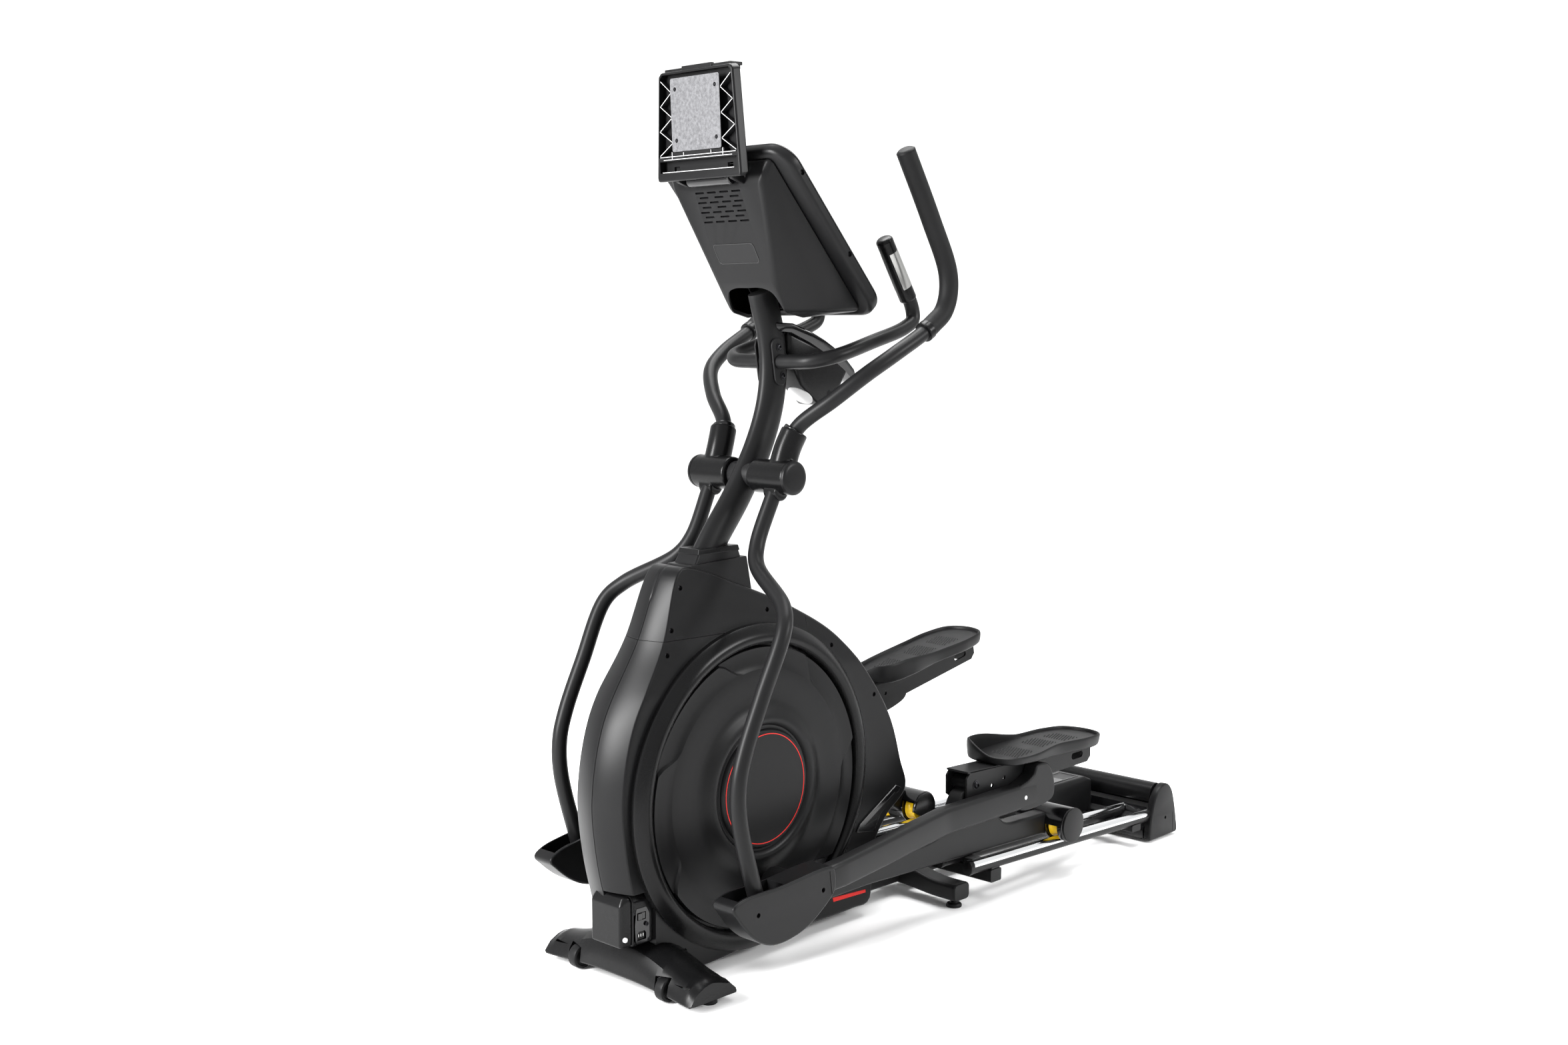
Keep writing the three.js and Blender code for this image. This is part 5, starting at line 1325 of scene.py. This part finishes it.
BASE_Z = 99.5
FLARED = [(-62, 192), (36, 196), (-54, 203), (30, 203)]
front_half = [(-34, y, z) for y in (34, -56) for z in (BASE_Z, 186)] + [(-22, 30, 203), (-22, -52, 203)]
front_half += box_ends(-8, BASE_Z, FLARED)
rear_half = box_ends(-7, BASE_Z, FLARED)
rear_half += box_ends(40, BASE_Z, [(-62, 190), (36, 196), (-54, 202), (30, 202)])
rear_half += box_ends(90, BASE_Z, [(-62, 176), (36, 176)])
HEX_ROOM = [(4, 176), (32, 176), (40, 160), (40, 112), (32, 101), (4, 101), (-3, 112), (-3, 160)]
hex_room = prism(HEX_ROOM, -70, -58)
fixed("inlet_front", "smooth", hull(front_half), "inlet_box", bevel=7, segments=5)
fixed("inlet_rear", "smooth", hull(rear_half), first_bevel=5, cutters=[hex_room], bevel=0.6)
hexa = [(5, 175), (31, 175), (39, 159.5), (39, 112.5), (31, 102), (5, 102), (-2, 112.5), (-2, 159.5)]
socket_hole = prism([(6, 109), (30, 109), (30, 121), (26, 127), (10, 127), (6, 121)], -70, -50)
switch_hole = prism(shifted(rounded(23, 16, 1.5, 3), 18, 158), -70, -50)
fixed(
    "inlet_bezel", "gloss", prism(hexa, -61.4, -52), cutters=[socket_hole, switch_hole], bevel=0.7,
    segments=2,
)
blades = [block(18 + x - 1, 18 + x + 1, -59, -50, 115, 121) for x in (-6, 0, 6)]
fixed("inlet_blades", "zinc", merge(*blades), "power_inlet")
# A near-black sheet behind the socket and switch openings: painted shade in the inlet's recess.
fixed("inlet_floor", "hole", block(4, 34, -51, -49, 104, 170))
rocker = prism([(7.5, 151), (28.5, 151), (28.5, 165), (7.5, 165)], -61, -55)
tilted = prism([(7.5, 151), (18, 151), (18, 165), (7.5, 165)], -64, -60)
piece("rocker_cap", "rocker", "gloss", merge(rocker, tilted), bevel=1, replaces=["power_switch"])
side_screws = merge(bolt(-2, 168, 61.4, -1, 2.6, 2), bolt(36, 106, 60.6, -1, 2.6, 2))
fixed("inlet_screws", "bolt", side_screws)
fixed("inlet_plug", "white", bar_y(-24, 118, 5, -62, -57, 0.8, 28))

# ---- what stays of the CAD nodes ----
hidden_cad("coat", "crankset")
hidden_cad("iron", "flywheel")
hidden_cad("belt", "drive_belt")
hidden_cad("chrome", "left_roller_axle", "right_roller_axle")

# ---- floor, light and camera ----
paper = bpy.data.materials.new("floor_paper")
paper.use_nodes = True
shader = paper.node_tree.nodes["Principled BSDF"]
shader.inputs["Base Color"].default_value = (0.94, 0.94, 0.94, 1)
shader.inputs["Roughness"].default_value = 0.7
VIEW_YAW = radians(46.26)
SHEET_NEAR = -14
SHEET_BEND = 5
SHEET_CURVE = 4
SHEET_TOP = 14
SHEET_HALF = 16
sheet = bpy.data.meshes.new("floor")
rows = [(SHEET_NEAR, 0), (SHEET_BEND, 0)]
for i in range(1, 25):
    turn = radians(90 * i / 24)
    rows.append((SHEET_BEND + SHEET_CURVE * sin(turn), SHEET_CURVE * (1 - cos(turn))))
rows.append((SHEET_BEND + SHEET_CURVE, SHEET_TOP))
away = Vector((sin(VIEW_YAW), cos(VIEW_YAW), 0))
across = Vector((away.y, -away.x, 0))
points = []
for run, rise in rows:
    points += [away * run + across * wide + Vector((0, 0, rise)) for wide in (-SHEET_HALF, SHEET_HALF)]
faces = [(2 * i, 2 * i + 1, 2 * i + 3, 2 * i + 2) for i in range(len(rows) - 1)]
sheet.from_pydata([tuple(p) for p in points], [], faces)
sheet.polygons.foreach_set("use_smooth", [True] * len(faces))
floor = bpy.data.objects.new("floor", sheet)
bpy.context.scene.collection.objects.link(floor)
sheet.materials.append(paper)

scene = bpy.context.scene
world = bpy.data.worlds.new("studio")
scene.world = world
world.use_nodes = True
world.node_tree.nodes["Background"].inputs["Color"].default_value = (1, 1, 1, 1)
world.node_tree.nodes["Background"].inputs["Strength"].default_value = 1.0
scene.view_settings.view_transform = "Standard"


def softbox(name, place, target, width, height, power):
    data = bpy.data.lights.new(name, "AREA")
    data.shape = "RECTANGLE"
    data.size, data.size_y, data.energy = width, height, power
    lamp = bpy.data.objects.new(name, data)
    lamp.location = place
    lamp.rotation_euler = (Vector(target) - Vector(place)).to_track_quat("-Z", "Y").to_euler()
    scene.collection.objects.link(lamp)


softbox("top_light", (0.4, 0.2, 3.8), (0, 0, 0.4), 2.6, 1.8, 200)
softbox("nose_light", (-3.9, 0.9, 2.0), (-0.4, 0, 0.7), 0.7, 2.2, 380)
softbox("side_light", (1.6, -4.0, 2.6), (0.2, 0, 0.6), 1.8, 0.9, 130)

VIEW_FROM = Vector((-3.0917, -2.6086, 1.3147))
pitch, roll = radians(6.14), radians(0.27)
look = away * cos(pitch) - Vector((0, 0, sin(pitch)))
right = look.cross(Vector((0, 0, 1))).normalized()
up = right.cross(look)
right, up = right * cos(roll) + up * sin(roll), up * cos(roll) - right * sin(roll)
lens = bpy.data.cameras.new("camera")
lens.lens = 40.19
lens.sensor_width = 36
camera = bpy.data.objects.new("camera", lens)
camera.matrix_world = Matrix(
    (
        (right.x, up.x, -look.x, VIEW_FROM.x),
        (right.y, up.y, -look.y, VIEW_FROM.y),
        (right.z, up.z, -look.z, VIEW_FROM.z),
        (0, 0, 0, 1),
    )
)
scene.collection.objects.link(camera)
scene.camera = camera

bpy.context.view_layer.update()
